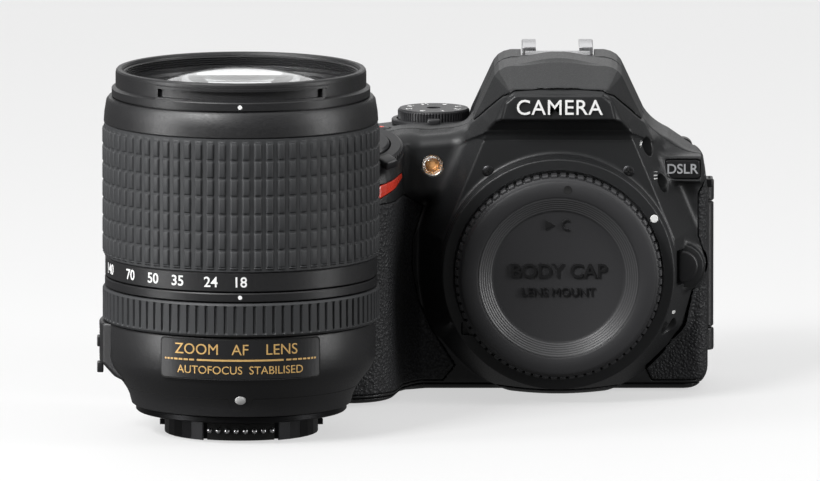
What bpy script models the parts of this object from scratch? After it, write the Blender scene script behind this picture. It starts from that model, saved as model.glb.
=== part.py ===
"""A DSLR camera body with its body cap on, and its zoom lens standing on its bayonet beside it.

Frame: X across the camera, -Y out of the lens mount towards the subject, +Z up. The origin is on the
underside of the base, below the optical axis, in the plane of the image sensor. Helpers take millimetres.
"""

import math

import bmesh
import bpy
from mathutils import Matrix, Vector

MM = 0.001
GAP = 0.3
WELD = 0.004
ROUND = 28
ROUND_LARGE = 36

# Camera body, in millimetres.
BODY_LEFT = -79.0
BODY_RIGHT = 43.0
AXIS_Z = 37.0
FRONT_Y = -22.0
REAR_Y = 9.0
SEAM_Y = -4.0
TOP_SEAM_Y = -20.0
TOP_SEAM_Z = 62.0
BASE_TOP = 2.0
FLANGE_Y = -46.5
BOSS_FRONT_Y = -45.5
BOSS_R = 33.2
BOSS_FOOT_R = 36.0
GRIP_FRONT_Y = -52.0
BIB_Y = -38.0
HUMP_FRONT_Y = -44.0
HUMP_REAR_Y = 12.0
HUMP_TOP = 94.4

# Controls on the grip's sloping top.
GRIP_SLOPE = math.radians(20.0)
SHUTTER_AT = Vector((-56.0, -38.0, 71.0))
SHUTTER_AXIS = Vector((0.0, -math.sin(GRIP_SLOPE), math.cos(GRIP_SLOPE)))
BUTTON_R = 7.9
LEVER_R = 12.0

MODE_DIAL_AT = (-35.5, 1.5)
MODE_DIAL_R = 10.3
DECK_SEAT_Z = 74.2
COMMAND_DIAL_AT = (-62.0, 2.5)
COMMAND_DIAL_R = 9.5
FOCUS_LAMP_AT = (-35.9, 65.8)
RELEASE_AT = (35.5, 37.4)
LOCK_PIN_X = 25.8
SOCKET_Y = -12.0

# The screen folds out about a vertical pin at the camera's side.
SCREEN_AXIS = (42.6, 9.5)
SCREEN_LEFT, SCREEN_RIGHT = -43.5, 39.5
SCREEN_LOW, SCREEN_HIGH = 8.0, 61.0
KNUCKLE_R = 2.5
HINGE_LOW, HINGE_HIGH = 14.3, 50.6

FLASH_PIVOT = (-9.6, 94.0)
MIRROR_PIVOT = (-9.5, 50.5)

# The lens, whose axis is upright.
LENS_X, LENS_Y = -90.0, -98.0
LENS_TOP = 103.5
LENS_FLANGE_Z = 6.5
FOCUS_LOW, FOCUS_HIGH = 32.2, 41.6
ZOOM_LOW, ZOOM_HIGH = 44.8, 95.5

FINISHES = {
    "body_plastic": ((0.018, 0.018, 0.020), 0.48, 0.0),
    "rubber": ((0.014, 0.014, 0.015), 0.72, 0.0),
    "control_plastic": ((0.016, 0.016, 0.017), 0.38, 0.0),
    "red_inlay": ((0.72, 0.035, 0.02), 0.35, 0.0),
    "steel": ((0.55, 0.55, 0.56), 0.28, 1.0),
    "inner_black": ((0.01, 0.01, 0.01), 0.8, 0.0),
    "glass": ((0.75, 0.8, 0.82), 0.04, 0.0),
    "mirror_glass": ((0.8, 0.8, 0.82), 0.05, 1.0),
    "circuit": ((0.02, 0.12, 0.06), 0.5, 0.0),
    "battery_grey": ((0.12, 0.12, 0.13), 0.5, 0.0),
}


def clear_scene():
    for old in list(bpy.data.objects):
        bpy.data.objects.remove(old)


def material(finish):
    found = bpy.data.materials.get(finish)
    if found:
        return found
    colour, roughness, metallic = FINISHES[finish]
    made = bpy.data.materials.new(finish)
    made.use_nodes = True
    shader = made.node_tree.nodes["Principled BSDF"]
    shader.inputs["Base Color"].default_value = (*colour, 1.0)
    shader.inputs["Roughness"].default_value = roughness
    shader.inputs["Metallic"].default_value = metallic
    made.diffuse_color = (*colour, 1.0)
    return made


def new_object(name, bm, finish=None):
    """An object from a bmesh in millimetres, with its faces turned outwards."""
    bmesh.ops.recalc_face_normals(bm, faces=bm.faces)
    if bm.calc_volume(signed=True) < 0:
        bmesh.ops.reverse_faces(bm, faces=bm.faces)
    bmesh.ops.scale(bm, vec=(MM, MM, MM), verts=bm.verts)
    mesh = bpy.data.meshes.new(name)
    bm.to_mesh(mesh)
    bm.free()
    made = bpy.data.objects.new(name, mesh)
    bpy.context.scene.collection.objects.link(made)
    if finish:
        mesh.materials.append(material(finish))
    return made


PLACES = {
    "X": lambda u, v, w: (w, u, v),
    "Y": lambda u, v, w: (u, w, v),
    "Z": lambda u, v, w: (u, v, w),
}


def prism(name, outline, low, high, axis="Y", finish=None):
    """An outline pushed along an axis: (x, z) points for Y, (x, y) for Z and (y, z) for X."""
    bm = bmesh.new()
    place = PLACES[axis]
    ends = [[bm.verts.new(place(u, v, w)) for u, v in outline] for w in (low, high)]
    bm.faces.new(ends[0])
    bm.faces.new(reversed(ends[1]))
    for i in range(len(outline)):
        j = (i + 1) % len(outline)
        bm.faces.new((ends[0][i], ends[1][i], ends[1][j], ends[0][j]))
    return new_object(name, bm, finish)


def box(name, low, high, finish=None):
    corners = [(low[0], low[1]), (high[0], low[1]), (high[0], high[1]), (low[0], high[1])]
    return prism(name, corners, low[2], high[2], "Z", finish)


def turned(name, profile, at=(0, 0, 0), direction=(0, 0, 1), steps=ROUND, finish=None):
    """A closed (radius, height) profile turned about a direction through a point."""
    bm = bmesh.new()
    rings = []
    for i in range(steps):
        angle = 2 * math.pi * i / steps
        turn = (math.cos(angle), math.sin(angle))
        rings.append([bm.verts.new((r * turn[0], r * turn[1], h)) for r, h in profile])
    count = len(profile)
    for i in range(steps):
        here, after = rings[i], rings[(i + 1) % steps]
        for j in range(count):
            k = (j + 1) % count
            on_axis = profile[j][0] == 0 and profile[k][0] == 0
            if not on_axis:
                bm.faces.new((here[j], after[j], after[k], here[k]))
    bmesh.ops.remove_doubles(bm, verts=bm.verts, dist=1e-4)
    bmesh.ops.dissolve_degenerate(bm, edges=bm.edges, dist=1e-4)
    turn = Vector(direction).to_track_quat("Z", "Y").to_matrix().to_4x4()
    bm.transform(Matrix.Translation(Vector(at)) @ turn)
    return new_object(name, bm, finish)


def disc(name, radius, low, high, at, direction=(0, 0, 1), steps=ROUND, finish=None):
    profile = [(0, low), (radius, low), (radius, high), (0, high)]
    return turned(name, profile, at, direction, steps, finish)


def ring(name, inner, outer, low, high, at, direction=(0, 0, 1), steps=ROUND, finish=None):
    profile = [(inner, low), (outer, low), (outer, high), (inner, high)]
    return turned(name, profile, at, direction, steps, finish)


def apply_modifiers(obj):
    """Bakes the modifiers in, and welds the slivers that a boolean leaves."""
    graph = bpy.context.evaluated_depsgraph_get()
    baked = bpy.data.meshes.new_from_object(obj.evaluated_get(graph))
    obj.modifiers.clear()
    obj.data = baked
    bm = bmesh.new()
    bm.from_mesh(baked)
    bmesh.ops.remove_doubles(bm, verts=bm.verts, dist=WELD * MM)
    bmesh.ops.dissolve_degenerate(bm, edges=bm.edges, dist=WELD * MM)
    bmesh.ops.triangulate(bm, faces=[face for face in bm.faces if len(face.verts) > 4])
    bm.to_mesh(baked)
    bm.free()
    return obj


def boolean(obj, operation, *others):
    """Cuts, joins or crosses obj with the others, and uses them up."""
    for other in others:
        modifier = obj.modifiers.new(operation.lower(), "BOOLEAN")
        modifier.operation = operation
        modifier.object = other
        apply_modifiers(obj)
        bpy.data.objects.remove(other)
    return obj


def cut(obj, *others):
    return boolean(obj, "DIFFERENCE", *others)


def join(obj, *others):
    return boolean(obj, "UNION", *others)


def cross(obj, other):
    return boolean(obj, "INTERSECT", other)


def soften(obj, width, segments=2, angle=35.0):
    """Rounds the edges sharper than an angle."""
    modifier = obj.modifiers.new("soften", "BEVEL")
    modifier.width = width * MM
    modifier.segments = segments
    modifier.limit_method = "ANGLE"
    modifier.angle_limit = math.radians(angle)
    return apply_modifiers(obj)


def copy_of(obj, name, finish=None):
    made = bpy.data.objects.new(name, obj.data.copy())
    bpy.context.scene.collection.objects.link(made)
    if finish:
        made.data.materials.clear()
        made.data.materials.append(material(finish))
    return made


def finish_piece(obj, pivot=None):
    """Smooth shading with sharp creases, and the origin on the joint's axis for a piece that moves."""
    obj.data.shade_smooth()
    obj.data.set_sharp_from_angle(angle=math.radians(30))
    if pivot is not None:
        at = Vector(pivot) * MM
        obj.data.transform(Matrix.Translation(-at))
        obj.location = at
    return obj


def arc(centre, radius, start, end, count=6):
    """Points along an arc, its angles in degrees."""
    steps = [math.radians(start + (end - start) * i / count) for i in range(count + 1)]
    return [(centre[0] + radius * math.cos(a), centre[1] + radius * math.sin(a)) for a in steps]


def shifted(points, distance):
    """An open line of points moved to its right-hand side by a distance."""
    moved = []
    for i, point in enumerate(points):
        before = Vector(points[max(i - 1, 0)])
        after = Vector(points[min(i + 1, len(points) - 1)])
        along = (after - before).normalized()
        moved.append((point[0] + along.y * distance, point[1] - along.x * distance))
    return moved


def trimmed(points, distance):
    """An open line of points with a length taken off each end."""
    first, second = Vector(points[0]), Vector(points[1])
    last, before = Vector(points[-1]), Vector(points[-2])
    start = first + (second - first).normalized() * distance
    end = last + (before - last).normalized() * distance
    return [tuple(start), *points[1:-1], tuple(end)]


def strip(points, near, far):
    """The band between two lines beside an open line of points."""
    return shifted(points, near) + list(reversed(shifted(points, far)))


def grip_line():
    """The grip's outer surface seen from above, from the camera's side round to the valley by the mount."""
    side = [(BODY_LEFT, -21.0), (BODY_LEFT, -30.0)]
    nose = arc((BODY_LEFT + 12.0, GRIP_FRONT_Y + 12.0), 12.0, 180, 270)
    flank = arc((-60.0, GRIP_FRONT_Y + 14.0), 14.0, -90, 0)
    return side + nose + flank + [(-43.5, -30.0), (-41.0, -24.5)]


def slab_outline():
    """The body without its hump, seen from the front."""
    right = arc((36.0, 7.0), 7.0, -90, 0, 4) + [(BODY_RIGHT, 58.0)]
    shoulder = arc((36.5, 63.0), 6.0, 10, 60, 3) + [(28.0, 74.3), (25.6, 75.5)]
    deck = [(-25.6, 75.5), (-45.0, 74.5), (-60.0, 73.0)]
    left = arc((-69.0, 61.0), 10.0, 110, 180, 4) + arc((-74.0, 5.0), 5.0, 180, 270, 4)
    return right + shoulder + deck + left


def hump_outline():
    """The prism hump seen from the front."""
    right = [(25.6, 75.0), (17.8, 92.2), (14.2, HUMP_TOP)]
    return right + [(-x, z) for x, z in reversed(right)]


def hump_side():
    """The prism hump seen from the side, with the overhang of its nose."""
    return [
        (-37.0, 74.0),
        (-37.5, 78.5),
        (HUMP_FRONT_Y, 82.5),
        (HUMP_FRONT_Y, 88.5),
        (-36.0, HUMP_TOP),
        (HUMP_REAR_Y - 1.0, HUMP_TOP),
        (HUMP_REAR_Y, 90.0),
        (HUMP_REAR_Y, 74.0),
    ]


def bib_outline():
    """The raised panel that carries the mount, seen from the front."""
    left = [(-20.0, 77.0), (-33.5, 44.0), (-30.0, 20.0)]
    return left + [(-x, z) for x, z in reversed(left)]


def body_master():
    """The whole body as one solid, from which the covers are taken."""
    body = prism("master", slab_outline(), FRONT_Y, REAR_Y)
    hump = prism("hump", hump_outline(), HUMP_FRONT_Y - 1.0, HUMP_REAR_Y + 1.0)
    cross(hump, prism("hump_side", hump_side(), -30.0, 30.0, "X"))
    boss_profile = [(0, 0), (BOSS_R, 0), (BOSS_FOOT_R, 22.0), (BOSS_FOOT_R, 26.0), (0, 26.0)]
    boss = turned("boss", boss_profile, (0, BOSS_FRONT_Y, AXIS_Z), (0, 1, 0), ROUND_LARGE)
    bib = prism("bib", bib_outline(), BIB_Y, FRONT_Y + 2)
    brow_outline = [(-46.5, 60.0), (-24.0, 60.0), (-24.0, 75.2), (-46.5, 74.0)]
    brow = prism("brow", brow_outline, -27.0, FRONT_Y + 2)
    housing_at = (RELEASE_AT[0] - 0.3, 0, RELEASE_AT[1])
    housing = disc("housing", 7.6, -31.0, FRONT_Y + 2, housing_at, (0, 1, 0), 24)
    grip = prism("grip", grip_line() + [(-41.0, -12.0), (BODY_LEFT, -12.0)], 0.0, 76.0, "Z")
    slope = box("slope", (-90, -70, 0), (-30, 40, 30))
    slope.matrix_world = Matrix.Translation(SHUTTER_AT * MM) @ Matrix.Rotation(GRIP_SLOPE, 4, "X")
    slope.data.transform(Matrix.Translation(Vector((56.0, 0, 0)) * MM))
    bpy.context.view_layer.update()
    cut(grip, slope)
    shoulder = prism("shoulder", slab_outline(), -60.0, 0.0)
    cross(grip, shoulder)
    return join(body, hump, boss, bib, brow, housing, grip)


def flash_line(offset):
    """The flash head's lower edge, seen from the front."""
    left = [(-27.0, 76.4 + offset), (-13.5, 89.0 + offset)]
    return left + [(0.0, 90.2 + offset)] + [(-x, z) for x, z in reversed(left)]


def flash_region(name, offset):
    """Everything above the flash head's lower edge and in front of its pivot."""
    outline = flash_line(offset) + [(27.0, 99.0), (-27.0, 99.0)]
    return prism(name, outline, -50.0, FLASH_PIVOT[0] + 1.0 - offset)


def region(name, low, high):
    return box(name, low, high)


def rubber_cut():
    """The rebate that the grip's rubber sits in."""
    band = strip(grip_line(), -1.0, 1.2 + GAP)
    return prism("rubber_rebate", band, 6.0 - GAP, 57.0 + GAP, "Z")


def side_rubber_outline(grow=0.0):
    return [
        (43.4, 57.0 + grow),
        (40.4 - grow, 57.0 + grow),
        (40.0 - grow, 47.0),
        (43.4, 46.6),
    ], [
        (43.4, 28.2 + grow),
        (38.2 - grow, 29.0 + grow),
        (36.6 - grow, 23.6),
        (31.4 - grow, 13.8),
        (24.8 - grow, 7.6),
        (27.0 - grow, 3.6 - grow),
        (43.4, 3.6 - grow),
    ]


def make_front_cover(master, tools):
    cover = copy_of(master, "front_cover", "body_plastic")
    cut(cover, region("behind", (-90, SEAM_Y, -5), (60, 40, 120)))
    cut(cover, region("above", (-90, TOP_SEAM_Y, TOP_SEAM_Z), (60, 0, 120)))
    cut(cover, region("below", (-90, -60, -5), (60, 20, BASE_TOP + GAP)))
    cut(cover, flash_region("flash_cut", -GAP))
    cut(cover, box("room", (-57.0, -20.0, 0.0), (40.5, 0.0, 60.0)))
    cut(cover, box("battery_room", (-76.4, -46.0, 0.0), (-59.0, 0.0, 57.6)))
    optical_axis = (0, 0, AXIS_Z)
    along = (0, 1, 0)
    cut(cover, disc("mount_seat", 29.3, -50.0, FLANGE_Y + 3.3, optical_axis, along, ROUND_LARGE))
    cut(cover, disc("throat", 24.6, -50.0, 0.0, optical_axis, along, ROUND_LARGE))
    cut(cover, disc("chamber", 29.3, FLANGE_Y + 4.3, 0.0, optical_axis, along, ROUND_LARGE))
    cut(cover, disc("pin_hole", 1.7, -50.0, 0.0, (LOCK_PIN_X, 0, AXIS_Z), (0, 1, 0), 16))
    cut(cover, box("prism_room", (-16.0, -34.0, 50.0), (16.0, 0.0, 79.0)))
    cut(cover, box("flash_pocket", (-15.0, -39.5, 79.6), (15.0, 0.0, 99.0)))
    cut(cover, rubber_cut())
    lamp_at = (FOCUS_LAMP_AT[0], 0, FOCUS_LAMP_AT[1])
    cut(cover, disc("lamp_hole", 3.0 + GAP, -30.0, -20.6, lamp_at, (0, 1, 0), 24))
    cut(cover, release_shape("release_hole", GAP, -40.0, -10.0))
    hole = -SHUTTER_AXIS
    cut(cover, disc("shutter_hole", BUTTON_R + GAP, -1.0, 5.0, SHUTTER_AT, hole))
    for name, at, out in side_buttons():
        cut(cover, disc(name + "_hole", 2.3 + GAP, -6.0, 6.0, at, out, 20))
    for tool in tools:
        cut(cover, tool())
    return finish_piece(cover)


def make_top_cover(master):
    cover = copy_of(master, "top_cover", "body_plastic")
    cross(cover, region("top_part", (-90, TOP_SEAM_Y + GAP, TOP_SEAM_Z + GAP), (60, 40, 120)))
    cut(cover, flash_region("flash_cut", -GAP))
    cut(cover, box("deck_room", (-76.0, -18.0, 50.0), (38.0, 7.0, 70.6)))
    cut(cover, box("prism_room", (-16.0, -30.0, 50.0), (16.0, 0.0, 86.5)))
    cut(cover, box("flash_pocket", (-15.0, -40.0, 79.6), (15.0, -21.0, 99.0)))
    cut(cover, box("window_room", (-9.0, -4.0, 77.0), (9.0, 20.0, 86.0)))
    cut(cover, box("shoe_seat", (-10.2 - GAP, -3.0 - GAP, 92.2), (10.2 + GAP, 30.0, 120.0)))
    cut(cover, disc("dial_seat", 12.6, DECK_SEAT_Z, 80.0, (*MODE_DIAL_AT, 0)))
    cut(cover, disc("dial_hole", 3.0 + GAP, 60.0, 80.0, (*MODE_DIAL_AT, 0), steps=24))
    slot_low = (COMMAND_DIAL_AT[0] - 10.2, -8.0, 63.6)
    slot_high = (COMMAND_DIAL_AT[0] + 10.2, 20.0, 69.9)
    cut(cover, box("dial_slot", slot_low, slot_high))
    cut(cover, box("trough", (-90, -8.0, 55.0), (-71.6, 20.0, 64.3)))
    for name, at, radius, _ in deck_buttons():
        cut(cover, disc(name + "_hole", radius + GAP, 60.0, 80.0, (*at, 0), steps=24))
    cut(cover, disc("menu_hole", 2.9 + GAP, 0.0, 20.0, (36.0, 0, 66.5), (0, 1, 0), 24))
    return finish_piece(cover)


def make_rear_cover(master, tools):
    cover = copy_of(master, "rear_cover", "body_plastic")
    low = (-90, SEAM_Y + GAP, BASE_TOP + GAP)
    cross(cover, region("rear_part", low, (60, 40, TOP_SEAM_Z)))
    lower = disc("knuckle_low", KNUCKLE_R, 7.5, HINGE_LOW - GAP, (*SCREEN_AXIS, 0), steps=24)
    upper = disc("knuckle_high", KNUCKLE_R, HINGE_HIGH + GAP, 57.0, (*SCREEN_AXIS, 0), steps=24)
    recess_low = (SCREEN_LEFT - 0.5, 6.7, SCREEN_LOW - 0.5)
    cut(cover, box("screen_recess", recess_low, (39.9, 30, SCREEN_HIGH + 0.5)))
    groove_at = (*SCREEN_AXIS, 0)
    cut(cover, disc("hinge_groove", 2.9, HINGE_LOW - GAP, HINGE_HIGH + GAP, groove_at, steps=24))
    cut(cover, box("arm_notch", (37.0, 6.7, HINGE_LOW - GAP), (42.6, 30, HINGE_HIGH + GAP)))
    join(cover, lower, upper)
    cut(cover, box("board_room", (-56.0, -10.0, 0.0), (39.0, 4.9, 60.0)))
    cut(cover, box("switch_room", (-76.0, -10.0, 0.0), (-57.5, 6.0, 60.0)))
    for name, at, radius in rear_buttons():
        hole_at = (at[0], 0, at[1])
        cut(cover, disc(name + "_hole", radius + GAP, 0.0, 20.0, hole_at, (0, 1, 0), 24))
    for tool in tools:
        cut(cover, tool())
    return finish_piece(cover)


def base_outline():
    """The base plate seen from below: the slab, the grip and the foot of the mount's boss."""
    rear = [(BODY_LEFT + 1.0, REAR_Y), (BODY_LEFT, REAR_Y - 1.0), (BODY_LEFT, -21.0)]
    foot = [(-36.0, FRONT_Y), (-26.0, -30.0), (-16.0, -41.0)]
    foot += [(-x, y) for x, y in reversed(foot)]
    return rear + grip_line()[1:] + foot + [(39.6, FRONT_Y), (40.6, FRONT_Y + 1.0), (40.6, REAR_Y)]


def make_bottom_cover():
    cover = prism("bottom_cover", base_outline(), 0.0, BASE_TOP, "Z", "body_plastic")
    cut(cover, box("door_hole", (-77.4, -46.6, -1.0), (-58.6, -5.4, 3.0)))
    cut(cover, disc("socket_hole", 5.0 + GAP, -1.0, 3.0, (0, SOCKET_Y, 0)))
    return finish_piece(cover)


def card_door_tool():
    return box("card_rebate", (-82.0, -19.0, 19.6), (-77.4, 5.4, 56.4))


def terminal_tool():
    return box("terminal_rebate", (41.3, -19.4, 15.6), (50.0, 3.4, 56.4))


def side_rubber_tool(part):
    outline = side_rubber_outline(GAP)[part]
    return prism("side_rebate", outline, -24.0, -21.0)


def lug_tool(side):
    """The hole in a side wall for a strap lug's foot."""
    x = BODY_RIGHT if side > 0 else BODY_LEFT
    z = 58.8 if side > 0 else 59.6
    low = (x - 2.4, -13.0 - GAP, z - 1.2 - GAP)
    return box("lug_hole", low, (x + 2.4, -6.0 + GAP, z + 1.2 + GAP))


def make_rubbers():
    band = strip(trimmed(grip_line(), GAP), 0.0, 1.2)
    finish_piece(prism("grip_rubber", band, 6.0, 57.0, "Z", "rubber"))
    side = prism("side_rubber", side_rubber_outline()[1], -22.5, -21.3, "Y", "rubber")
    finish_piece(side)
    thumb_outline = [(-77.5, 30), (-68.5, 30), (-66.5, 34), (-66.5, 60), (-77.5, 60)]
    thumb = prism("thumb_rubber", thumb_outline, REAR_Y + GAP, 12.0, "Y", "rubber")
    finish_piece(soften(thumb, 1.0))


def make_grip_inlay():
    """The red blade let into the front of the grip, below the shutter button."""
    line = [p for p in grip_line() if p[1] < -44.5]
    band = strip(trimmed(line, GAP), -0.4, 0.4)
    blade = prism("grip_inlay", band, 58.0, 62.5, "Z", "red_inlay")
    finish_piece(blade)


def inlay_tool():
    line = [p for p in grip_line() if p[1] < -44.5]
    band = strip(line, -3.0, 0.4 + GAP)
    return prism("inlay_rebate", band, 58.0 - GAP, 62.5 + GAP, "Z")


def make_inside():
    walls = box("mirror_box", (-20.0, -41.9, 17.0), (20.0, -7.0, 56.0), "inner_black")
    cut(walls, box("light_path", (-17.0, -50.0, 20.0), (17.0, 0.0, 53.6)))
    cut(walls, box("screen_hole", (-14.0, -37.0, 50.0), (14.0, -12.0, 60.0)))
    finish_piece(walls)

    frame = box("shutter_frame", (-22.0, -6.6, 7.5), (22.0, -3.0, 56.0), "inner_black")
    cut(frame, box("gate", (-12.2, -8.0, 29.0), (12.2, 0.0, 45.2)))
    cut(frame, box("guide", (-14.0, -5.5, 9.5), (14.0, -4.2, 47.0)))
    finish_piece(frame)
    curtain = box("shutter_curtain", (-13.6, -5.2, 28.2), (13.6, -4.5, 46.0), "inner_black")
    finish_piece(curtain, (0, -4.85, 28.2))

    finish_piece(box("image_sensor", (-15.0, -2.6, 26.0), (15.0, 0.6, 48.0), "glass"))
    board = box("main_board", (-54.0, 2.4, 7.0), (37.0, 4.0, 58.0), "circuit")
    finish_piece(board)

    roof = [(-33.0, 57.0), (-6.5, 57.0), (-2.5, 66.0), (-7.0, 80.0)]
    roof += [(-13.0, 84.5), (-18.0, 79.0), (-33.0, 69.0)]
    finish_piece(prism("pentamirror", roof, -15.0, 15.0, "X", "mirror_glass"))

    length, thick = 28.0, 1.2
    mirror = box("reflex_mirror", (-13.5, -length, -thick), (13.5, 0.0, 0.0), "mirror_glass")
    tilt = Matrix.Rotation(math.radians(45), 4, "X")
    at = Vector((0, *MIRROR_PIVOT)) * MM
    mirror.data.transform(Matrix.Translation(at) @ tilt)
    finish_piece(mirror, (0, *MIRROR_PIVOT))

    battery = box("battery", (-75.6, -45.0, 2.6), (-61.6, -7.0, 55.0), "battery_grey")
    finish_piece(soften(battery, 0.8, 1))
    socket = [(3.2, 0.0), (5.0, 0.0), (5.0, 5.0), (4.6, 6.0), (3.2, 6.0)]
    finish_piece(turned("tripod_socket", socket, (0, SOCKET_Y, 0), finish="steel"))


def make_mount():
    """The steel bayonet ring with its three inner tabs."""
    depth = (FLANGE_Y, FLANGE_Y + 3.0)
    optical_axis = (0, 0, AXIS_Z)
    mount = ring("mount_ring", 23.7, 28.8, *depth, optical_axis, (0, 1, 0), ROUND_LARGE, "steel")
    for i in range(3):
        join(mount, sector("tab", 22.1, 24.4, FLANGE_Y + 0.1, FLANGE_Y + 1.6, 90 + 120 * i, 46))
    pin_at = (LOCK_PIN_X, 0, AXIS_Z)
    cut(mount, disc("pin_hole", 1.7, FLANGE_Y - 1, FLANGE_Y + 4, pin_at, (0, 1, 0), 16))
    finish_piece(mount)
    depth = (FLANGE_Y - 1.6, FLANGE_Y + 2.9)
    pin = disc("lock_pin", 1.3, *depth, pin_at, (0, 1, 0), 16, "steel")
    finish_piece(pin, (LOCK_PIN_X, FLANGE_Y, AXIS_Z))


def sector(name, inner, outer, low, high, middle, spread):
    """A piece of a ring round the optical axis, its angles in degrees in the XZ plane."""
    outside = arc((0, AXIS_Z), outer, middle - spread / 2, middle + spread / 2, 6)
    inside = arc((0, AXIS_Z), inner, middle + spread / 2, middle - spread / 2, 6)
    return prism(name, outside + inside, low, high)


def make_body_cap():
    """The moulded cap: a grip rim, a dished face and a skirt whose lugs pass between the mount's tabs."""
    face, back = -6.6, -0.4
    profile = [
        (0, face + 2.6),
        (18.7, face + 2.6),
        (23.3, face),
        (27.4, face),
        (28.2, face + 1.2),
        (29.5, face + 1.6),
        (29.5, back - 0.6),
        (29.0, back),
        (21.7, back),
        (21.7, 4.2),
        (19.7, 4.2),
        (19.7, back - 1.8),
        (0, back - 1.8),
    ]
    seat = (0, FLANGE_Y, AXIS_Z)
    cap = turned("body_cap", profile, seat, (0, 1, 0), ROUND_LARGE, "control_plastic")
    for i in range(3):
        join(cap, sector("lug", 20.6, 23.3, FLANGE_Y + 2.4, FLANGE_Y + 4.1, 30 + 120 * i, 44))
    pin_at = (LOCK_PIN_X, 0, AXIS_Z)
    cut(cap, disc("pin_room", 1.8, FLANGE_Y - 2.4, FLANGE_Y, pin_at, (0, 1, 0), 16))
    finish_piece(cap, seat)


def make_flash(master):
    head = copy_of(master, "flash_head", "body_plastic")
    cross(head, flash_region("flash_part", 0.0))
    dome = [(-9.0, 94.0)] + arc((0, 75.0), 21.2, 113, 67, 8) + [(9.0, 94.0)]
    join(head, prism("crown", dome, -36.0, -9.2))
    finish_piece(head, (0, *FLASH_PIVOT))
    wedge = [(-38.0, 88.4), (-24.0, 88.4), (-26.0, 83.0), (-31.0, 81.2)]
    window = prism("flash_window", wedge, -13.0, 13.0, "X", "glass")
    finish_piece(window, (0, *FLASH_PIVOT))


def make_hot_shoe():
    half, lip, slot_half = 10.2, 6.2, 9.3
    floor, under, top = 93.4, 95.7, 96.8
    profile = [
        (-half, 92.5),
        (half, 92.5),
        (half, top),
        (lip, top),
        (lip, under),
        (slot_half, under),
        (slot_half, floor),
        (-slot_half, floor),
        (-slot_half, under),
        (-lip, under),
        (-lip, top),
        (-half, top),
    ]
    finish_piece(prism("hot_shoe", profile, -3.0, 15.0, "Y", "steel"))


def make_eyecup():
    cup = prism("eyecup", rounded(0, 82.5, 17.0, 9.0, 4.0), HUMP_REAR_Y + GAP, 18.0, "Y", "rubber")
    cut(cup, prism("view", rounded(0, 82.5, 10.5, 5.5, 2.0), 0.0, 30.0))
    finish_piece(cup)


def rounded(x, z, half_width, half_height, radius):
    """A rectangle with round corners, about a centre."""
    w, h = half_width - radius, half_height - radius
    corners = ((w, -h, -90), (w, h, 0), (-w, h, 90), (-w, -h, 180))
    return [p for u, v, a in corners for p in arc((x + u, z + v), radius, a, a + 90, 3)]


def make_strap_lugs():
    """A flat steel loop on each side, its foot let into the wall."""
    for name, side in (("strap_lug_left", -1), ("strap_lug_right", 1)):
        x = BODY_RIGHT if side > 0 else BODY_LEFT
        z = 58.8 if side > 0 else 59.6
        out = 1.5 if side > 0 else 3.4
        ends = sorted((x - side * 1.6, x + side * out))
        lug = box(name, (ends[0], -13.0, z - 1.2), (ends[1], -6.0, z + 1.2), "steel")
        hole = sorted((x + side * 0.2, x + side * (out - 0.7)))
        cut(lug, box("eye", (hole[0], -12.1, 50), (hole[1], -6.9, 70)))
        finish_piece(lug)


def make_shutter_controls():
    button = [(0, -3.0), (BUTTON_R, -3.0), (BUTTON_R, 3.0)]
    button += [(BUTTON_R - 0.8, 3.9), (3.0, 3.6), (0, 3.6)]
    piece = turned("shutter_button", button, SHUTTER_AT, SHUTTER_AXIS, ROUND, "control_plastic")
    finish_piece(piece, SHUTTER_AT)
    inner = BUTTON_R + 0.4
    profile = [(inner, GAP), (LEVER_R, GAP), (LEVER_R, 2.0), (LEVER_R - 1.0, 2.8), (inner, 2.8)]
    lever = turned("power_lever", profile, SHUTTER_AT, SHUTTER_AXIS, ROUND, "control_plastic")
    tab = box("tab", (-2.2, -14.2, 0.6), (2.2, -9.5, 3.4))
    tab.data.transform(Matrix.Rotation(math.radians(38), 4, "Z"))
    upright = Matrix.Rotation(GRIP_SLOPE, 4, "X")
    tab.data.transform(Matrix.Translation(SHUTTER_AT * MM) @ upright)
    join(lever, tab)
    finish_piece(lever, SHUTTER_AT)


def make_dials():
    at = (*MODE_DIAL_AT, 0)
    low = DECK_SEAT_Z + GAP
    stem = [(0, 66.0), (3.0, 66.0), (3.0, low)]
    head = [(MODE_DIAL_R, low), (MODE_DIAL_R, 78.2), (9.9, 78.7), (0, 78.7)]
    dial = turned("mode_dial", stem + head, at, finish="control_plastic")
    finish_piece(dial, (*MODE_DIAL_AT, low))
    inner = MODE_DIAL_R + 0.4
    lever = ring("live_view_lever", inner, 12.2, low, 75.9, at, finish="control_plastic")
    x, y = MODE_DIAL_AT
    tab = box("tab", (x - 2.0, y - 14.2, 75.4), (x + 2.0, y - 11.2, 77.2))
    join(lever, tab)
    finish_piece(lever, (*MODE_DIAL_AT, low))
    command = [(0, 64.2), (8.7, 64.2), (COMMAND_DIAL_R, 64.8)]
    command += [(COMMAND_DIAL_R, 68.8), (8.7, 69.4), (0, 69.4)]
    piece = turned("command_dial", command, (*COMMAND_DIAL_AT, 0), finish="control_plastic")
    finish_piece(piece, (*COMMAND_DIAL_AT, 66.8))


def deck_buttons():
    """Buttons on the top deck: name, place, radius and top."""
    return [
        ("movie_button", (-50.5, -13.5), 2.4, 75.2),
        ("exposure_button", (-58.5, -13.5), 2.6, 74.3),
    ]


def side_buttons():
    """Buttons on the flank of the mount's panel: name, place and the way they face."""
    flank = Vector((0.925, 0.0, 0.38)).normalized()
    lower = Vector((0.883, 0.0, -0.469)).normalized()
    return [
        ("flash_button", Vector((22.6, -31.0, 70.6)), flank),
        ("function_button", Vector((26.9, -31.0, 60.1)), flank),
        ("timer_button", Vector((0, -33.0, AXIS_Z)) + lower * 34.8, lower),
    ]


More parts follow.
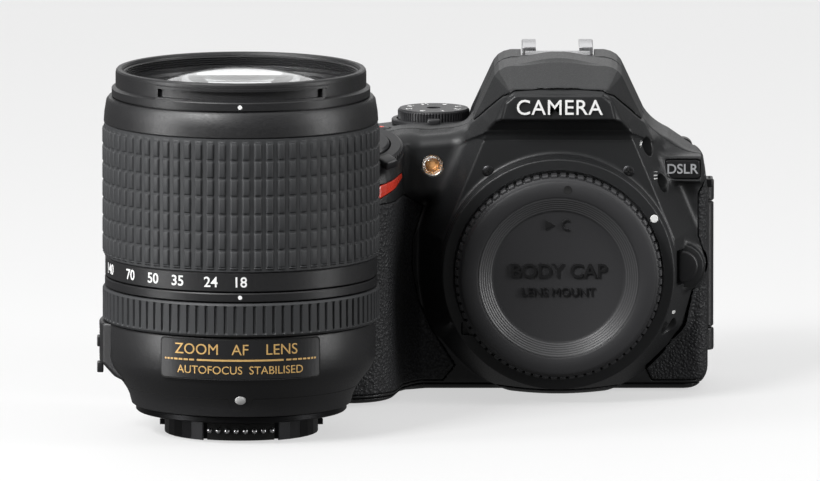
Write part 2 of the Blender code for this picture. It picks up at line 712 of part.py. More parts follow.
def rear_buttons():
    """Buttons on the rear cover: name, place in the XZ plane and radius."""
    return [
        ("playback_button", (-50.0, 55.0), 2.9),
        ("zoom_in_button", (-51.0, 20.0), 2.7),
        ("zoom_out_button", (-60.0, 20.0), 2.7),
        ("multi_selector", (-57.0, 37.5), 8.4),
    ]


def make_buttons():
    for name, at, radius, top in deck_buttons():
        piece = disc(name, radius, 68.5, top, (*at, 0), steps=24, finish="control_plastic")
        finish_piece(piece, (*at, top))
    for name, at, out in side_buttons():
        piece = disc(name, 2.3, -2.4, 0.7, at, out, 20, "control_plastic")
        finish_piece(piece, at)
    for name, at, radius in rear_buttons():
        top = 11.0 if name == "multi_selector" else 9.9
        piece = disc(name, radius, 6.9, top, (at[0], 0, at[1]), (0, 1, 0), 24, "control_plastic")
        finish_piece(piece, (at[0], 8.0, at[1]))
    menu = disc("menu_button", 2.9, 5.0, 9.9, (36.0, 0, 66.5), (0, 1, 0), 24, "control_plastic")
    finish_piece(menu, (36.0, REAR_Y, 66.5))
    release = release_shape("lens_release_button", 0.0, -32.6, -24.0, "control_plastic")
    finish_piece(soften(release, 0.5, 1), (RELEASE_AT[0], -28.0, RELEASE_AT[1]))


def release_shape(name, grow, low, high, finish=None):
    """A D with its flat side towards the mount."""
    flat = RELEASE_AT[0] - 1.4 - grow
    bow = arc(RELEASE_AT, 4.7 + grow, -90, 90, 10)
    outline = bow + [(flat, RELEASE_AT[1] + 4.7 + grow), (flat, RELEASE_AT[1] - 4.7 - grow)]
    return prism(name, outline, low, high, "Y", finish)


def make_focus_lamp():
    profile = [(0, -27.6), (2.2, -27.2), (3.0, -26.4), (3.0, -21.0), (0, -21.0)]
    at = (FOCUS_LAMP_AT[0], 0, FOCUS_LAMP_AT[1])
    finish_piece(turned("focus_lamp", profile, at, (0, 1, 0), 24, "glass"))


def make_doors():
    battery_door = box("battery_door", (-77.0, -46.2, 0.0), (-59.0, -5.8, 1.8), "body_plastic")
    finish_piece(battery_door, (-59.0, -26.0, 0.0))
    card_door = box("card_door", (-79.1, -18.6, 20.0), (-77.7, 5.0, 56.0), "body_plastic")
    finish_piece(card_door, (-79.1, 5.0, 38.0))
    cover = box("terminal_cover", (41.6, -19.0, 16.0), (43.1, 3.0, 56.0), "rubber")
    finish_piece(soften(cover, 0.3, 1), (43.1, -19.0, 36.0))


def make_screen():
    at = (*SCREEN_AXIS, 0)
    middle = 32.5
    hinge = disc("screen_hinge", 2.4, HINGE_LOW, HINGE_HIGH, at, steps=24, finish="control_plastic")
    join(hinge, box("arm", (39.9, 8.0, HINGE_LOW + 0.4), (42.8, 11.2, HINGE_HIGH - 0.4)))
    pin = disc("pin", 1.6, 35.0, 41.0, (0, 9.6, middle), (1, 0, 0), 16)
    join(hinge, pin)
    finish_piece(hinge, (*SCREEN_AXIS, middle))
    low = (SCREEN_LEFT, 7.1, SCREEN_LOW)
    panel = box("screen_panel", low, (SCREEN_RIGHT, 12.8, SCREEN_HIGH), "control_plastic")
    soften(panel, 1.0)
    cut(panel, disc("pin_bore", 1.9, 34.6, 45.0, (0, 9.6, middle), (1, 0, 0), 16))
    finish_piece(panel, (*SCREEN_AXIS, middle))


def lens_turned(name, profile, finish, steps=ROUND_LARGE):
    return turned(name, profile, (LENS_X, LENS_Y, 0), (0, 0, 1), steps, finish)


def make_lens_fixed():
    """The bayonet, the rear barrel with its inner sleeve, and the index ring."""
    flange = LENS_FLANGE_Z
    throat = [(18.0, 0), (21.7, 0), (21.7, flange)]
    plate = [(29.5, flange), (29.5, flange + 1.4), (18.0, flange + 1.4)]
    bayonet = lens_turned("lens_bayonet", throat + plate, "steel")
    for i in range(3):
        middle = 30 + 120 * i
        outside = arc((LENS_X, LENS_Y), 23.3, middle - 22, middle + 22, 6)
        inside = arc((LENS_X, LENS_Y), 21.0, middle + 22, middle - 22, 6)
        join(bayonet, prism("lug", outside + inside, 1.2, 2.8, "Z"))
    notch_high = (LENS_X + 10.5, LENS_Y - 16.3, 5.4)
    cut(bayonet, box("contact_notch", (LENS_X - 10.5, LENS_Y - 30, -1), notch_high))
    finish_piece(bayonet)

    low = flange + 1.4 + GAP
    waist = [(30.6, low), (31.2, 11.0), (34.0, 14.0), (37.0, 18.0)]
    band = [(38.0, 21.0), (38.0, 31.2), (37.2, 31.9)]
    sleeve = [(33.4, 31.9), (33.4, 94.0), (30.4, 94.0), (30.4, 40.0)]
    baffle = [(19.0, 36.0), (19.0, low + 2.4), (14.4, low + 2.4), (14.4, low)]
    barrel = lens_turned("lens_rear_barrel", waist + band + sleeve + baffle, "body_plastic")
    panel_low = (LENS_X - 40.1, LENS_Y - 8.0, 13.0)
    panel = box("switch_panel", panel_low, (LENS_X - 30.0, LENS_Y + 8.0, 31.9))
    limit = [(0, 10), (33.0, 10), (40.1, 17.5), (40.1, 40), (0, 40)]
    cross(panel, lens_turned("panel_limit", limit, None))
    join(barrel, panel)
    for z in (18.6, 26.0):
        slot_low = (LENS_X - 42, LENS_Y - 4.6, z - 1.9)
        cut(barrel, box("switch_slot", slot_low, (LENS_X - 38.4, LENS_Y + 4.6, z + 1.9)))
    finish_piece(barrel)

    outer_edge = arc((LENS_X, LENS_Y), 21.6, -116, -64, 8)
    inner_edge = arc((LENS_X, LENS_Y), 18.6, -64, -116, 8)
    block = prism("lens_contact_block", outer_edge + inner_edge, 0.2, 5.0, "Z", "inner_black")
    finish_piece(block)

    ring_profile = [(33.8, 42.0), (38.5, 42.0), (38.5, 44.5), (33.8, 44.5)]
    finish_piece(lens_turned("lens_index_ring", ring_profile, "body_plastic"))
    rear = [(0, 8.0), (9.0, 8.4), (14.0, 9.4), (14.0, 12.0), (0, 13.5)]
    finish_piece(lens_turned("lens_rear_element", rear, "glass", ROUND))


def make_lens_moving():
    pivot = (LENS_X, LENS_Y, 0)
    focus = [
        (33.8, FOCUS_LOW),
        (38.8, FOCUS_LOW),
        (39.2, FOCUS_LOW + 0.5),
        (39.2, FOCUS_HIGH - 0.5),
        (38.8, FOCUS_HIGH),
        (33.8, FOCUS_HIGH),
    ]
    finish_piece(lens_turned("lens_focus_ring", focus, "rubber"), pivot)
    zoom = [
        (36.3, ZOOM_LOW),
        (38.5, ZOOM_LOW),
        (38.5, 50.0),
        (39.2, 50.6),
        (39.2, 87.8),
        (38.6, 88.6),
        (38.4, 94.0),
        (37.6, ZOOM_HIGH),
        (36.3, ZOOM_HIGH),
    ]
    finish_piece(lens_turned("lens_zoom_ring", zoom, "rubber"), pivot)
    front = [
        (33.9, 46.0),
        (35.8, 46.0),
        (35.8, 96.0),
        (36.6, 96.2),
        (36.6, 98.8),
        (35.6, 99.4),
        (35.4, 102.8),
        (34.6, LENS_TOP),
        (33.6, LENS_TOP),
        (33.4, 100.6),
        (29.4, 98.4),
        (29.4, 94.6),
        (33.9, 94.6),
    ]
    finish_piece(lens_turned("lens_front_barrel", front, "body_plastic"), pivot)
    glass = [(0, 88.0), (20.0, 89.0), (28.9, 92.0), (28.9, 96.6)]
    glass += [(24.0, 98.6), (15.0, 100.6), (0, 101.8)]
    finish_piece(lens_turned("lens_front_element", glass, "glass"), pivot)
    for name, z in (("lens_stabiliser_switch", 18.6), ("lens_focus_switch", 26.0)):
        low = (LENS_X - 41.0, LENS_Y - 4.2, z - 1.5)
        knob = box(name, low, (LENS_X - 38.8, LENS_Y - 0.6, z + 1.5), "control_plastic")
        finish_piece(knob, (LENS_X - 40, LENS_Y - 2.4, z))
    lever_low = (LENS_X + 14.6, LENS_Y - 2.0, 1.0)
    lever = box("lens_aperture_lever", lever_low, (LENS_X + 16.2, LENS_Y + 2.0, 7.4), "steel")
    finish_piece(lever, pivot)


def build():
    clear_scene()
    master = body_master()
    shared = [card_door_tool, terminal_tool]
    front_only = [
        lambda: side_rubber_tool(1),
        inlay_tool,
        lambda: lug_tool(1),
        lambda: lug_tool(-1),
    ]
    make_front_cover(master, shared + front_only)
    make_top_cover(master)
    make_rear_cover(master, shared)
    make_flash(master)
    bpy.data.objects.remove(master)
    make_bottom_cover()
    make_rubbers()
    make_grip_inlay()
    make_inside()
    make_mount()
    make_body_cap()
    make_hot_shoe()
    make_eyecup()
    make_strap_lugs()
    make_shutter_controls()
    make_dials()
    make_buttons()
    make_focus_lamp()
    make_doors()
    make_screen()
    make_lens_fixed()
    make_lens_moving()


build()
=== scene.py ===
"""The looks of a DSLR camera with its body cap on, and of its zoom lens standing beside it.

Lengths are in millimetres up to the point where a mesh is made. X runs across the camera, -Y out of the
lens mount, +Z up. The shells are sculpted as signed distances and meshed; the round pieces are turned.
"""

import math

import bmesh
import bpy
import numpy as np
from mathutils import Matrix, Vector


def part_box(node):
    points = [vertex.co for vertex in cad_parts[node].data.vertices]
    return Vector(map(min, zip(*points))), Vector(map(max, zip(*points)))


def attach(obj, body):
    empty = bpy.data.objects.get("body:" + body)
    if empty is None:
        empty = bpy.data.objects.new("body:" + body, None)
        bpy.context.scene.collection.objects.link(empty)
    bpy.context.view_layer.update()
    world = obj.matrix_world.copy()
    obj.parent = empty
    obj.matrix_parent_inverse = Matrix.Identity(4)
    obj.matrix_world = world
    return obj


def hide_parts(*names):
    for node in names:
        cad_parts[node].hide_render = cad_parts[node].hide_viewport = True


MM = 0.001
STEP = 0.45
FINE = 0.3

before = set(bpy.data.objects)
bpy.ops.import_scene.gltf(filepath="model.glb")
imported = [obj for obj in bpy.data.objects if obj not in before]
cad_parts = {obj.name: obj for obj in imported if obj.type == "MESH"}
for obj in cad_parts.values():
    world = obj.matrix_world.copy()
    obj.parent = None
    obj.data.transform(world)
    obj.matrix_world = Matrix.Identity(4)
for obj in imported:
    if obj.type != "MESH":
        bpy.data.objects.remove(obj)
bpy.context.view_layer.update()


def node_mm(name):
    low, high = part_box(name)
    return np.array(low) / MM, np.array(high) / MM


# Places read from the CAD, in millimetres.
RING_LOW, RING_HIGH = node_mm("mount_ring")
AXIS_Z = (RING_LOW[2] + RING_HIGH[2]) / 2
FLANGE_Y = RING_LOW[1]
LENS_LOW, LENS_HIGH = node_mm("lens_index_ring")
LENS_X, LENS_Y = (LENS_LOW[:2] + LENS_HIGH[:2]) / 2
GRIP_LOW = node_mm("grip_rubber")[0]
BODY_LEFT, GRIP_FRONT = GRIP_LOW[0], GRIP_LOW[1]
SLAB_FRONT = -22.0
SLAB_BACK = 9.0
BOSS_FRONT = FLANGE_Y + 1.0
BOSS_R = 33.2
BIB_FRONT = -38.0
NOSE_FRONT = -44.0
SHUTTER = np.array((-56.0, -38.0, 71.0))
SLOPE = math.radians(20.0)
TOP_NORMAL = np.array((0.0, -math.sin(SLOPE), math.cos(SLOPE)))


# ---------------------------------------------------------------- signed distances


def polygon(u, v, points):
    """Signed distance to a closed outline, negative inside."""
    best = None
    inside = None
    for (ax, ay), (bx, by) in zip(points, points[1:] + points[:1]):
        ex, ey = bx - ax, by - ay
        wx, wy = u - ax, v - ay
        along = np.clip((wx * ex + wy * ey) / (ex * ex + ey * ey), 0, 1)
        near = (wx - ex * along) ** 2 + (wy - ey * along) ** 2
        crossed = ((ay <= v) & (by > v)) | ((by <= v) & (ay > v))
        flips = crossed & ((ex * wy - ey * wx > 0) == (by > ay))
        best = near if best is None else np.minimum(best, near)
        inside = flips if inside is None else inside ^ flips
    return np.where(inside, -1, 1) * np.sqrt(best)


def pushed(flat, depth, r=0.0):
    """An outline's distance crossed with a slab's, with round edges."""
    a, b = flat + r, depth + r
    return np.minimum(np.maximum(a, b), 0) + np.hypot(np.maximum(a, 0), np.maximum(b, 0)) - r


def between(v, low, high):
    return np.abs(v - (low + high) / 2) - (high - low) / 2


def block(p, low, high, r=0.0):
    """A box with round edges."""
    sides = [between(v, a, b) + r for v, a, b in zip(p, low, high)]
    outside = sum(np.maximum(s, 0) ** 2 for s in sides)
    inside = np.maximum(np.maximum(sides[0], sides[1]), sides[2])
    return np.minimum(inside, 0) + np.sqrt(outside) - r


def blend_in(a, b, k):
    """Union with a fillet."""
    h = np.clip(0.5 + 0.5 * (b - a) / k, 0, 1)
    return b + (a - b) * h - k * h * (1 - h)


def blend_cross(a, b, k):
    """Intersection with a round edge."""
    return -blend_in(-a, -b, k)


def blend_cut(a, b, k):
    return blend_cross(a, -b, k)


def radius_about_axis(p):
    """Distance from the optical axis."""
    return np.hypot(p[0], p[2] - AXIS_Z)


def plane(p, at, normal):
    return sum((v - a) * n for v, a, n in zip(p, at, normal))


def arc(centre, radius, start, end, count=8):
    steps = [math.radians(start + (end - start) * i / count) for i in range(count + 1)]
    return [(centre[0] + radius * math.cos(a), centre[1] + radius * math.sin(a)) for a in steps]


# ---------------------------------------------------------------- the body's form


def slab_outline():
    """The body without its hump, seen from the front."""
    right = arc((36.0, 7.0), 7.0, -90, 0) + [(43.0, 57.0), (42.2, 62.5)]
    shoulder = arc((36.6, 62.6), 5.6, 20, 65, 4) + [(31.6, 72.7), (27.0, 75.0), (24.0, 76.5)]
    deck = [(-24.0, 76.2), (-45.0, 74.4), (-60.0, 72.6)]
    left = arc((-69.0, 62.0), 10.0, 100, 180) + arc((-74.0, 5.0), 5.0, 180, 270)
    return right + shoulder + deck + left


HUMP_SIDE = [(27.0, 73.0), (19.0, 90.2), (18.2, 91.8), (17.0, 93.2), (15.4, 94.1), (13.4, 94.6)]
HUMP = [(-x, z) for x, z in HUMP_SIDE[:1]] + HUMP_SIDE + [
    (-x, z) for x, z in reversed(HUMP_SIDE[1:])
]
BIB = [(-19.4, 79.0), (-33.2, 46.0), (-31.0, 22.0), (31.0, 22.0), (33.2, 46.0), (19.4, 79.0)]
UNDERCUT = [
    (-70.0, 81.0),
    (-43.4, 81.0),
    (-41.4, 80.0),
    (-39.2, 77.8),
    (-38.0, 74.0),
    (-38.0, 40.0),
    (-70.0, 40.0),
]
NAMEPLATE = [(-16.4, 81.0), (-15.0, 86.2), (-12.4, 88.4), (12.4, 88.4), (15.0, 86.2), (16.4, 81.0)]
FLASH_EDGE = [(0.0, 90.1), (12.7, 89.3), (15.9, 87.4), (23.7, 79.4), (25.2, 78.0)]
FLASH_LINE = [(-x, z) for x, z in reversed(FLASH_EDGE[1:])] + FLASH_EDGE


def grip_outline():
    """The grip seen from above."""
    nose = arc((BODY_LEFT + 12.5, GRIP_FRONT + 12.5), 12.5, 180, 270)
    flank = arc((-60.0, GRIP_FRONT + 14.0), 14.0, -90, -6)
    return [(BODY_LEFT, -10.0)] + nose + flank + [(-44.3, -30.0), (-41.0, -24.0), (-38.0, -10.0)]


def slab(p):
    x, y, z = p
    return pushed(polygon(x, z, slab_outline()), between(y, SLAB_FRONT, SLAB_BACK), 4.0)


def hump(p):
    x, y, z = p
    outline = polygon(x, z, HUMP) + 0.32 * np.maximum(-27.0 - y, 0)
    form = pushed(outline, between(y, NOSE_FRONT, 12.0), 2.6)
    plate = pushed(polygon(x, z, NAMEPLATE), between(y, NOSE_FRONT - 0.6, -30.0), 0.7)
    return blend_in(form, plate, 0.5)


def bib(p):
    """The panel that carries the mount, flaring back to the body."""
    x, y, z = p
    flare = 0.42 * np.clip(y - BIB_FRONT, 0, 16.0)
    panel = pushed((polygon(x, z, BIB) - flare) / 1.08, between(y, BIB_FRONT, -15.0), 0.45)
    inside = np.minimum(polygon(x, z, slab_outline()), polygon(x, z, HUMP))
    return blend_cross(panel, inside + 0.6, 2.0)


def boss(p):
    """The ring round the mount and the skirt that it stands on."""
    y = p[1]
    away = radius_about_axis(p)
    ring = pushed(away - BOSS_R, between(y, BOSS_FRONT, -20.0), 0.5)
    flare = 0.42 * np.clip(y - BIB_FRONT, 0, 14.0)
    skirt = (away - BOSS_R - 0.2 - flare) / 1.08
    return np.minimum(ring, pushed(skirt, between(y, BIB_FRONT - 4.5, -14.0), 1.6))


def grip(p):
    x, y, z = p
    top = plane(p, SHUTTER, TOP_NORMAL)
    tall = np.maximum(top, -z - 1.0)
    form = pushed(polygon(x, y, grip_outline()), tall, 4.2)
    return blend_cross(form, polygon(x, z, slab_outline()), 3.0)


def brow(p):
    x, y, z = p
    outline = polygon(x, z, [(-48.0, 56.0), (-20.0, 56.0), (-22.0, 75.6), (-44.5, 73.6)])
    return pushed(outline, between(y, -27.5, -10.0), 3.6)


def release_housing(p):
    x, y, z = p
    return pushed(np.hypot(x - 35.1, z - AXIS_Z - 0.4) - 7.5, between(y, -31.0, -15.0), 0.9)


def badge_frame(p):
    x, y, z = p
    outline = [(29.2, 61.2), (41.0, 60.6), (41.0, 68.4), (28.2, 68.6)]
    form = pushed(polygon(x, z, outline), between(y, -27.0, -15.0), 1.0)
    seat = pushed(polygon(x, z, rounded(35.5, 64.7, 5.2, 2.9, 0.9)), between(y, -40.0, -26.3))
    return blend_cut(form, seat, 0.4)


def body_form(p):
    """The camera's outside as one signed distance."""
    _, y, z = p
    form = blend_in(slab(p), hump(p), 3.4)
    form = blend_in(form, bib(p), 1.6)
    form = blend_cut(form, polygon(y, z, UNDERCUT), 0.9)
    form = blend_in(form, brow(p), 3.0)
    form = blend_in(form, boss(p), 1.2)
    form = blend_in(form, grip(p), 3.6)
    form = blend_in(form, badge_frame(p), 2.2)
    form = blend_in(form, release_housing(p), 1.6)
    return blend_cross(form, -z, 1.2)


def thumb_rest(p):
    x, y, z = p
    outline = polygon(
        x, z, [(-77.0, 30.0), (-68.0, 31.0), (-66.0, 40.0), (-66.0, 59.0), (-77.0, 59.0)]
    )
    return pushed(outline, between(y, 0.0, 11.6), 2.4)


def flash_part(p, gap):
    """Everything above the flash head's lower edge and in front of its hinge."""
    x, y, z = p
    line = FLASH_LINE + [(25.2, 110.0), (-25.2, 110.0)]
    return np.maximum(polygon(x, z, line) + gap, y + 8.6 + gap)


def grip_rubber_part(p):
    """Where the grip's rubber lies, seen from the front."""
    x, y, z = p
    edge = [
        (-44.0, 57.6),
        (-38.6, 53.5),
        (-41.6, 44.5),
        (-41.9, 36.9),
        (-40.2, 27.0),
        (-36.2, 18.0),
        (-29.6, 7.6),
        (-33.0, 3.3),
        (-90.0, 3.3),
        (-90.0, 57.6),
    ]
    return np.maximum(polygon(x, z, edge), y + 20.6)


def side_rubber_part(p):
    x, y, z = p
    edge = [
        (50.0, 61.4),
        (42.4, 61.2),
        (40.2, 57.2),
        (40.2, 44.8),
        (42.4, 38.4),
        (41.9, 34.0),
        (38.6, 30.2),
        (35.6, 20.0),
        (31.5, 13.8),
        (24.8, 7.6),
        (27.0, 3.3),
        (50.0, 3.3),
    ]
    return np.maximum(polygon(x, z, edge), y + 19.6)


# ---------------------------------------------------------------- meshing


EDGES = [(a, a | bit) for bit in (1, 2, 4) for a in range(8) if not a & bit]


def sampled(form, low, high, step):
    """The form on a grid, with the grid's axes."""
    axes = [np.arange(a - step, b + 2 * step, step, dtype=np.float32) for a, b in zip(low, high)]
    x, y, z = axes
    field = form((x[:, None, None], y[None, :, None], z[None, None, :]))
    shape = tuple(len(a) for a in axes)
    return axes, np.ascontiguousarray(np.broadcast_to(field, shape), dtype=np.float32)


def net(form, low, high, step):
    """Points and quads on the form's surface, by surface nets."""
    axes, field = sampled(form, low, high, step)
    inside = field < 0
    cells = tuple(n - 1 for n in field.shape)
    corner_of = [(c & 1, c >> 1 & 1, c >> 2 & 1) for c in range(8)]
    count = np.zeros(cells, np.int8)
    for i, j, k in corner_of:
        count += inside[i : i + cells[0], j : j + cells[1], k : k + cells[2]]
    mixed = (count > 0) & (count < 8)
    where = np.argwhere(mixed)
    number = np.full(cells, -1, np.int32)
    number[mixed] = np.arange(len(where), dtype=np.int32)
    values = np.stack([field[tuple((where + c).T)] for c in corner_of], axis=1)
    total = np.zeros((len(where), 3))
    hits = np.zeros(len(where))
    for a, b in EDGES:
        crossing = (values[:, a] < 0) != (values[:, b] < 0)
        gap = np.where(crossing, values[:, a] - values[:, b], 1)
        share = np.where(crossing, values[:, a] / gap, 0)[:, None]
        point = np.array(corner_of[a]) * (1 - share) + np.array(corner_of[b]) * share
        total += point * crossing[:, None]
        hits += crossing
    points = np.array([a[0] for a in axes]) + (where + total / hits[:, None]) * step
    quads = [quads_along(inside, number, axis) for axis in range(3)]
    return points, np.concatenate(quads)


def quads_along(inside, number, axis):
    """A quad round each grid edge along an axis that the surface crosses."""
    one = np.eye(3, dtype=int)
    u, v = (axis + 1) % 3, (axis + 2) % 3
    last = np.array(inside.shape) - 1
    low = [slice(1, None)] * 3
    low[axis] = slice(0, -1)
    high = list(low)
    high[axis] = slice(1, None)
    a, b = inside[tuple(low)], inside[tuple(high)]
    at = np.argwhere(a != b)
    rising = a[tuple(at.T)]
    at = at + (1 - one[axis])
    keep = (at[:, u] < last[u]) & (at[:, v] < last[v])
    at, rising = at[keep], rising[keep]
    around = [at, at - one[u], at - one[u] - one[v], at - one[v]]
    quads = np.stack([number[tuple(c.T)] for c in around], axis=1)
    quads[~rising] = quads[~rising, ::-1]
    return quads


def settled(form, points, step, rounds=2):
    """The points moved onto the surface, and the surface's normals there."""
    e = 0.04
    for turn in range(rounds + 1):
        p = points.T.astype(np.float64)
        here = form(tuple(p))
        slope = np.empty_like(points)
        for axis in range(3):
            ahead, behind = p.copy(), p.copy()
            ahead[axis] += e
            behind[axis] -= e
            slope[:, axis] = (form(tuple(ahead)) - form(tuple(behind))) / (2 * e)
        size = np.maximum(np.linalg.norm(slope, axis=1), 0.2)[:, None]
        if turn < rounds:
            move = -(here / size[:, 0])[:, None] * slope / size
            points = points + np.clip(move, -step * 0.6, step * 0.6)
    return points, slope / size


def sculpt(name, form, low, high, step=STEP):
    """A mesh of a form's surface inside a box."""
    points, quads = net(form, low, high, step)
    points, normals = settled(form, points, step)
    mesh = bpy.data.meshes.new(name)
    mesh.from_pydata((points * MM).tolist(), [], quads.tolist())
    mesh.polygons.foreach_set("use_smooth", np.ones(len(mesh.polygons), bool))
    mesh.normals_split_custom_set_from_vertices(normals.tolist())
    return mesh


# ---------------------------------------------------------------- plain meshes


def mesh_of(name, bm, smooth=32):
    bmesh.ops.recalc_face_normals(bm, faces=bm.faces)
    bmesh.ops.scale(bm, vec=(MM, MM, MM), verts=bm.verts)
    mesh = bpy.data.meshes.new(name)
    bm.to_mesh(mesh)
    bm.free()
    mesh.shade_smooth()
    mesh.set_sharp_from_angle(angle=math.radians(smooth))
    return mesh


def turn_matrix(at, direction):
    spin = Vector((0, 0, 1)).rotation_difference(Vector(direction)).to_matrix().to_4x4()
    return Matrix.Translation(Vector(at)) @ spin


def turned(name, profile, at=(0, 0, 0), direction=(0, 0, 1), steps=128, smooth=32):
    """A closed (radius, height) profile turned about a direction through a point."""
    bm = bmesh.new()
    rings = []
    for i in range(steps):
        c, s = math.cos(2 * math.pi * i / steps), math.sin(2 * math.pi * i / steps)
        rings.append([bm.verts.new((r * c, r * s, h)) for r, h in profile])
    count = len(profile)
    for i in range(steps):
        here, after = rings[i], rings[(i + 1) % steps]
        for j in range(count):
            k = (j + 1) % count
            if profile[j][0] or profile[k][0]:
                bm.faces.new((here[j], after[j], after[k], here[k]))
    bmesh.ops.remove_doubles(bm, verts=bm.verts, dist=1e-4)
    bm.transform(turn_matrix(at, direction))
    return mesh_of(name, bm, smooth)


def relief(name, radius_at, angles, heights, inner, at, direction=(0, 0, 1)):
    """A ring whose outer radius follows a function of angle and height."""
    bm = bmesh.new()
    grid = []
    for angle in angles:
        c, s = math.cos(angle), math.sin(angle)
        column = []
        for height in heights:
            r = radius_at(angle, height)
            column.append(bm.verts.new((r * c, r * s, height)))
        ends = (heights[-1], heights[0])
        column += [bm.verts.new((inner * c, inner * s, height)) for height in ends]
        grid.append(column)
    for here, after in zip(grid, grid[1:] + grid[:1]):
        for j in range(len(here)):
            k = (j + 1) % len(here)
            bm.faces.new((here[j], after[j], after[k], here[k]))
    bm.transform(turn_matrix(at, direction))
    return mesh_of(name, bm, 26)


PLACES = {
    "X": lambda u, v, w: (w, u, v),
    "Y": lambda u, v, w: (u, w, v),
    "Z": lambda u, v, w: (u, v, w),
}


def prism(name, outline, low, high, axis="Y", round_edge=0.0, segments=3):
    """An outline pushed along an axis, with its edges rounded."""
    bm = bmesh.new()
    place = PLACES[axis]
    ends = [[bm.verts.new(place(u, v, w)) for u, v in outline] for w in (low, high)]
    bm.faces.new(ends[0])
    bm.faces.new(reversed(ends[1]))
    for i in range(len(outline)):
        j = (i + 1) % len(outline)
        bm.faces.new((ends[0][i], ends[1][i], ends[1][j], ends[0][j]))
    bmesh.ops.recalc_face_normals(bm, faces=bm.faces)
    if round_edge:
        sharp = [e for e in bm.edges if e.calc_face_angle(0) > 0.6]
        bmesh.ops.bevel(
            bm, geom=sharp, offset=round_edge, segments=segments, profile=0.5, affect="EDGES"
        )
    return mesh_of(name, bm)


def bar(name, low, high, round_edge=0.2, segments=3):
    corners = [(low[0], low[1]), (high[0], low[1]), (high[0], high[1]), (low[0], high[1])]
    return prism(name, corners, low[2], high[2], "Z", round_edge, segments)


def rounded(x, z, half_width, half_height, radius, count=6):
    """A rectangle with round corners, about a centre."""
    w, h = half_width - radius, half_height - radius
    corners = ((w, -h, -90), (w, h, 0), (-w, h, 90), (-w, -h, 180))
    return [p for u, v, a in corners for p in arc((x + u, z + v), radius, a, a + 90, count)]


def joined(name, meshes):
    """One mesh from several."""
    bm = bmesh.new()
    for mesh in meshes:
        bm.from_mesh(mesh)
        bpy.data.meshes.remove(mesh)
    whole = bpy.data.meshes.new(name)
    bm.to_mesh(whole)
    bm.free()
    whole.set_sharp_from_angle(angle=math.radians(32))
    return whole


def lettering(name, words, size, thickness, weight=0.0, spacing=1.0):
    """Words as a thin solid in the XY plane, centred, in millimetres."""
    curve = bpy.data.curves.new(name, "FONT")
    curve.body = words
    curve.size = size
    curve.extrude = thickness / 2
    curve.offset = weight
    curve.space_character = spacing
    curve.align_x = "CENTER"
    curve.align_y = "CENTER"
    curve.resolution_u = 4
    holder = bpy.data.objects.new(name, curve)
    bpy.context.scene.collection.objects.link(holder)
    graph = bpy.context.evaluated_depsgraph_get()
    mesh = bpy.data.meshes.new_from_object(holder.evaluated_get(graph))
    bpy.data.objects.remove(holder)
    bpy.data.curves.remove(curve)
    return mesh


def on_front(mesh, x, y, z):
    """A mesh drawn in the XY plane stood up to face -Y, its scale turned from millimetres to metres."""
    mesh.transform(
        Matrix.Translation(Vector((x, y, z))) @ Matrix.Rotation(math.radians(90), 4, "X")
    )
    mesh.transform(Matrix.Scale(MM, 4))
    return mesh


def wrapped(mesh, radius, angle, height):
    """A flat mesh wrapped onto the upright lens: its x runs round, its y runs up."""
    co = np.empty(len(mesh.vertices) * 3, np.float32)
    mesh.vertices.foreach_get("co", co)
    co = co.reshape(-1, 3)
    turn = math.radians(angle - 90) + co[:, 0] / radius
    out = radius + co[:, 2]
    round_lens = np.stack(
        [LENS_X + out * np.cos(turn), LENS_Y + out * np.sin(turn), height + co[:, 1]], axis=1
    )
    mesh.vertices.foreach_set("co", (round_lens * MM).astype(np.float32).ravel())
    mesh.update()
    return mesh


# ---------------------------------------------------------------- materials


def shader_of(name, colour, roughness, metallic=0.0, coat=0.0, specular=0.5):
    made = bpy.data.materials.new(name)
    made.use_nodes = True
    shader = made.node_tree.nodes["Principled BSDF"]
    shader.inputs["Base Color"].default_value = (*colour, 1.0)
    shader.inputs["Roughness"].default_value = roughness
    shader.inputs["Metallic"].default_value = metallic
    shader.inputs["Coat Weight"].default_value = coat
    shader.inputs["Coat Roughness"].default_value = 0.25
    shader.inputs["Specular IOR Level"].default_value = specular
    return made, made.node_tree, shader


def add_node(tree, kind, **values):
    node = tree.nodes.new(kind)
    for key, value in values.items():
        if key in node.inputs:
            node.inputs[key].default_value = value
        else:
            setattr(node, key, value)
    return node


def place_of(tree):
    return add_node(tree, "ShaderNodeTexCoord").outputs["Object"]


def noise(tree, scale, detail=3.0, roughness=0.6):
    node = add_node(tree, "ShaderNodeTexNoise", Scale=scale, Detail=detail, Roughness=roughness)
    tree.links.new(place_of(tree), node.inputs["Vector"])
    return node.outputs["Fac"]


def ramp(tree, value, low, high, from_low=0.35, from_high=0.65):
    node = add_node(tree, "ShaderNodeMapRange")
    tree.links.new(value, node.inputs["Value"])
    for key, number in (
        ("From Min", from_low),
        ("From Max", from_high),
        ("To Min", low),
        ("To Max", high),
    ):
        node.inputs[key].default_value = number
    return node.outputs["Result"]


def bump(tree, shader, height, strength, distance):
    node = add_node(tree, "ShaderNodeBump", Strength=strength, Distance=distance * MM)
    tree.links.new(height, node.inputs["Height"])
    tree.links.new(node.outputs["Normal"], shader.inputs["Normal"])


def tint(tree, shader, value, dark, light):
    """Colour between two shades by a value."""
    mix = add_node(tree, "ShaderNodeMix", data_type="RGBA")
    tree.links.new(value, mix.inputs["Factor"])
    mix.inputs["A"].default_value = (*dark, 1.0)
    mix.inputs["B"].default_value = (*light, 1.0)
    tree.links.new(mix.outputs["Result"], shader.inputs["Base Color"])


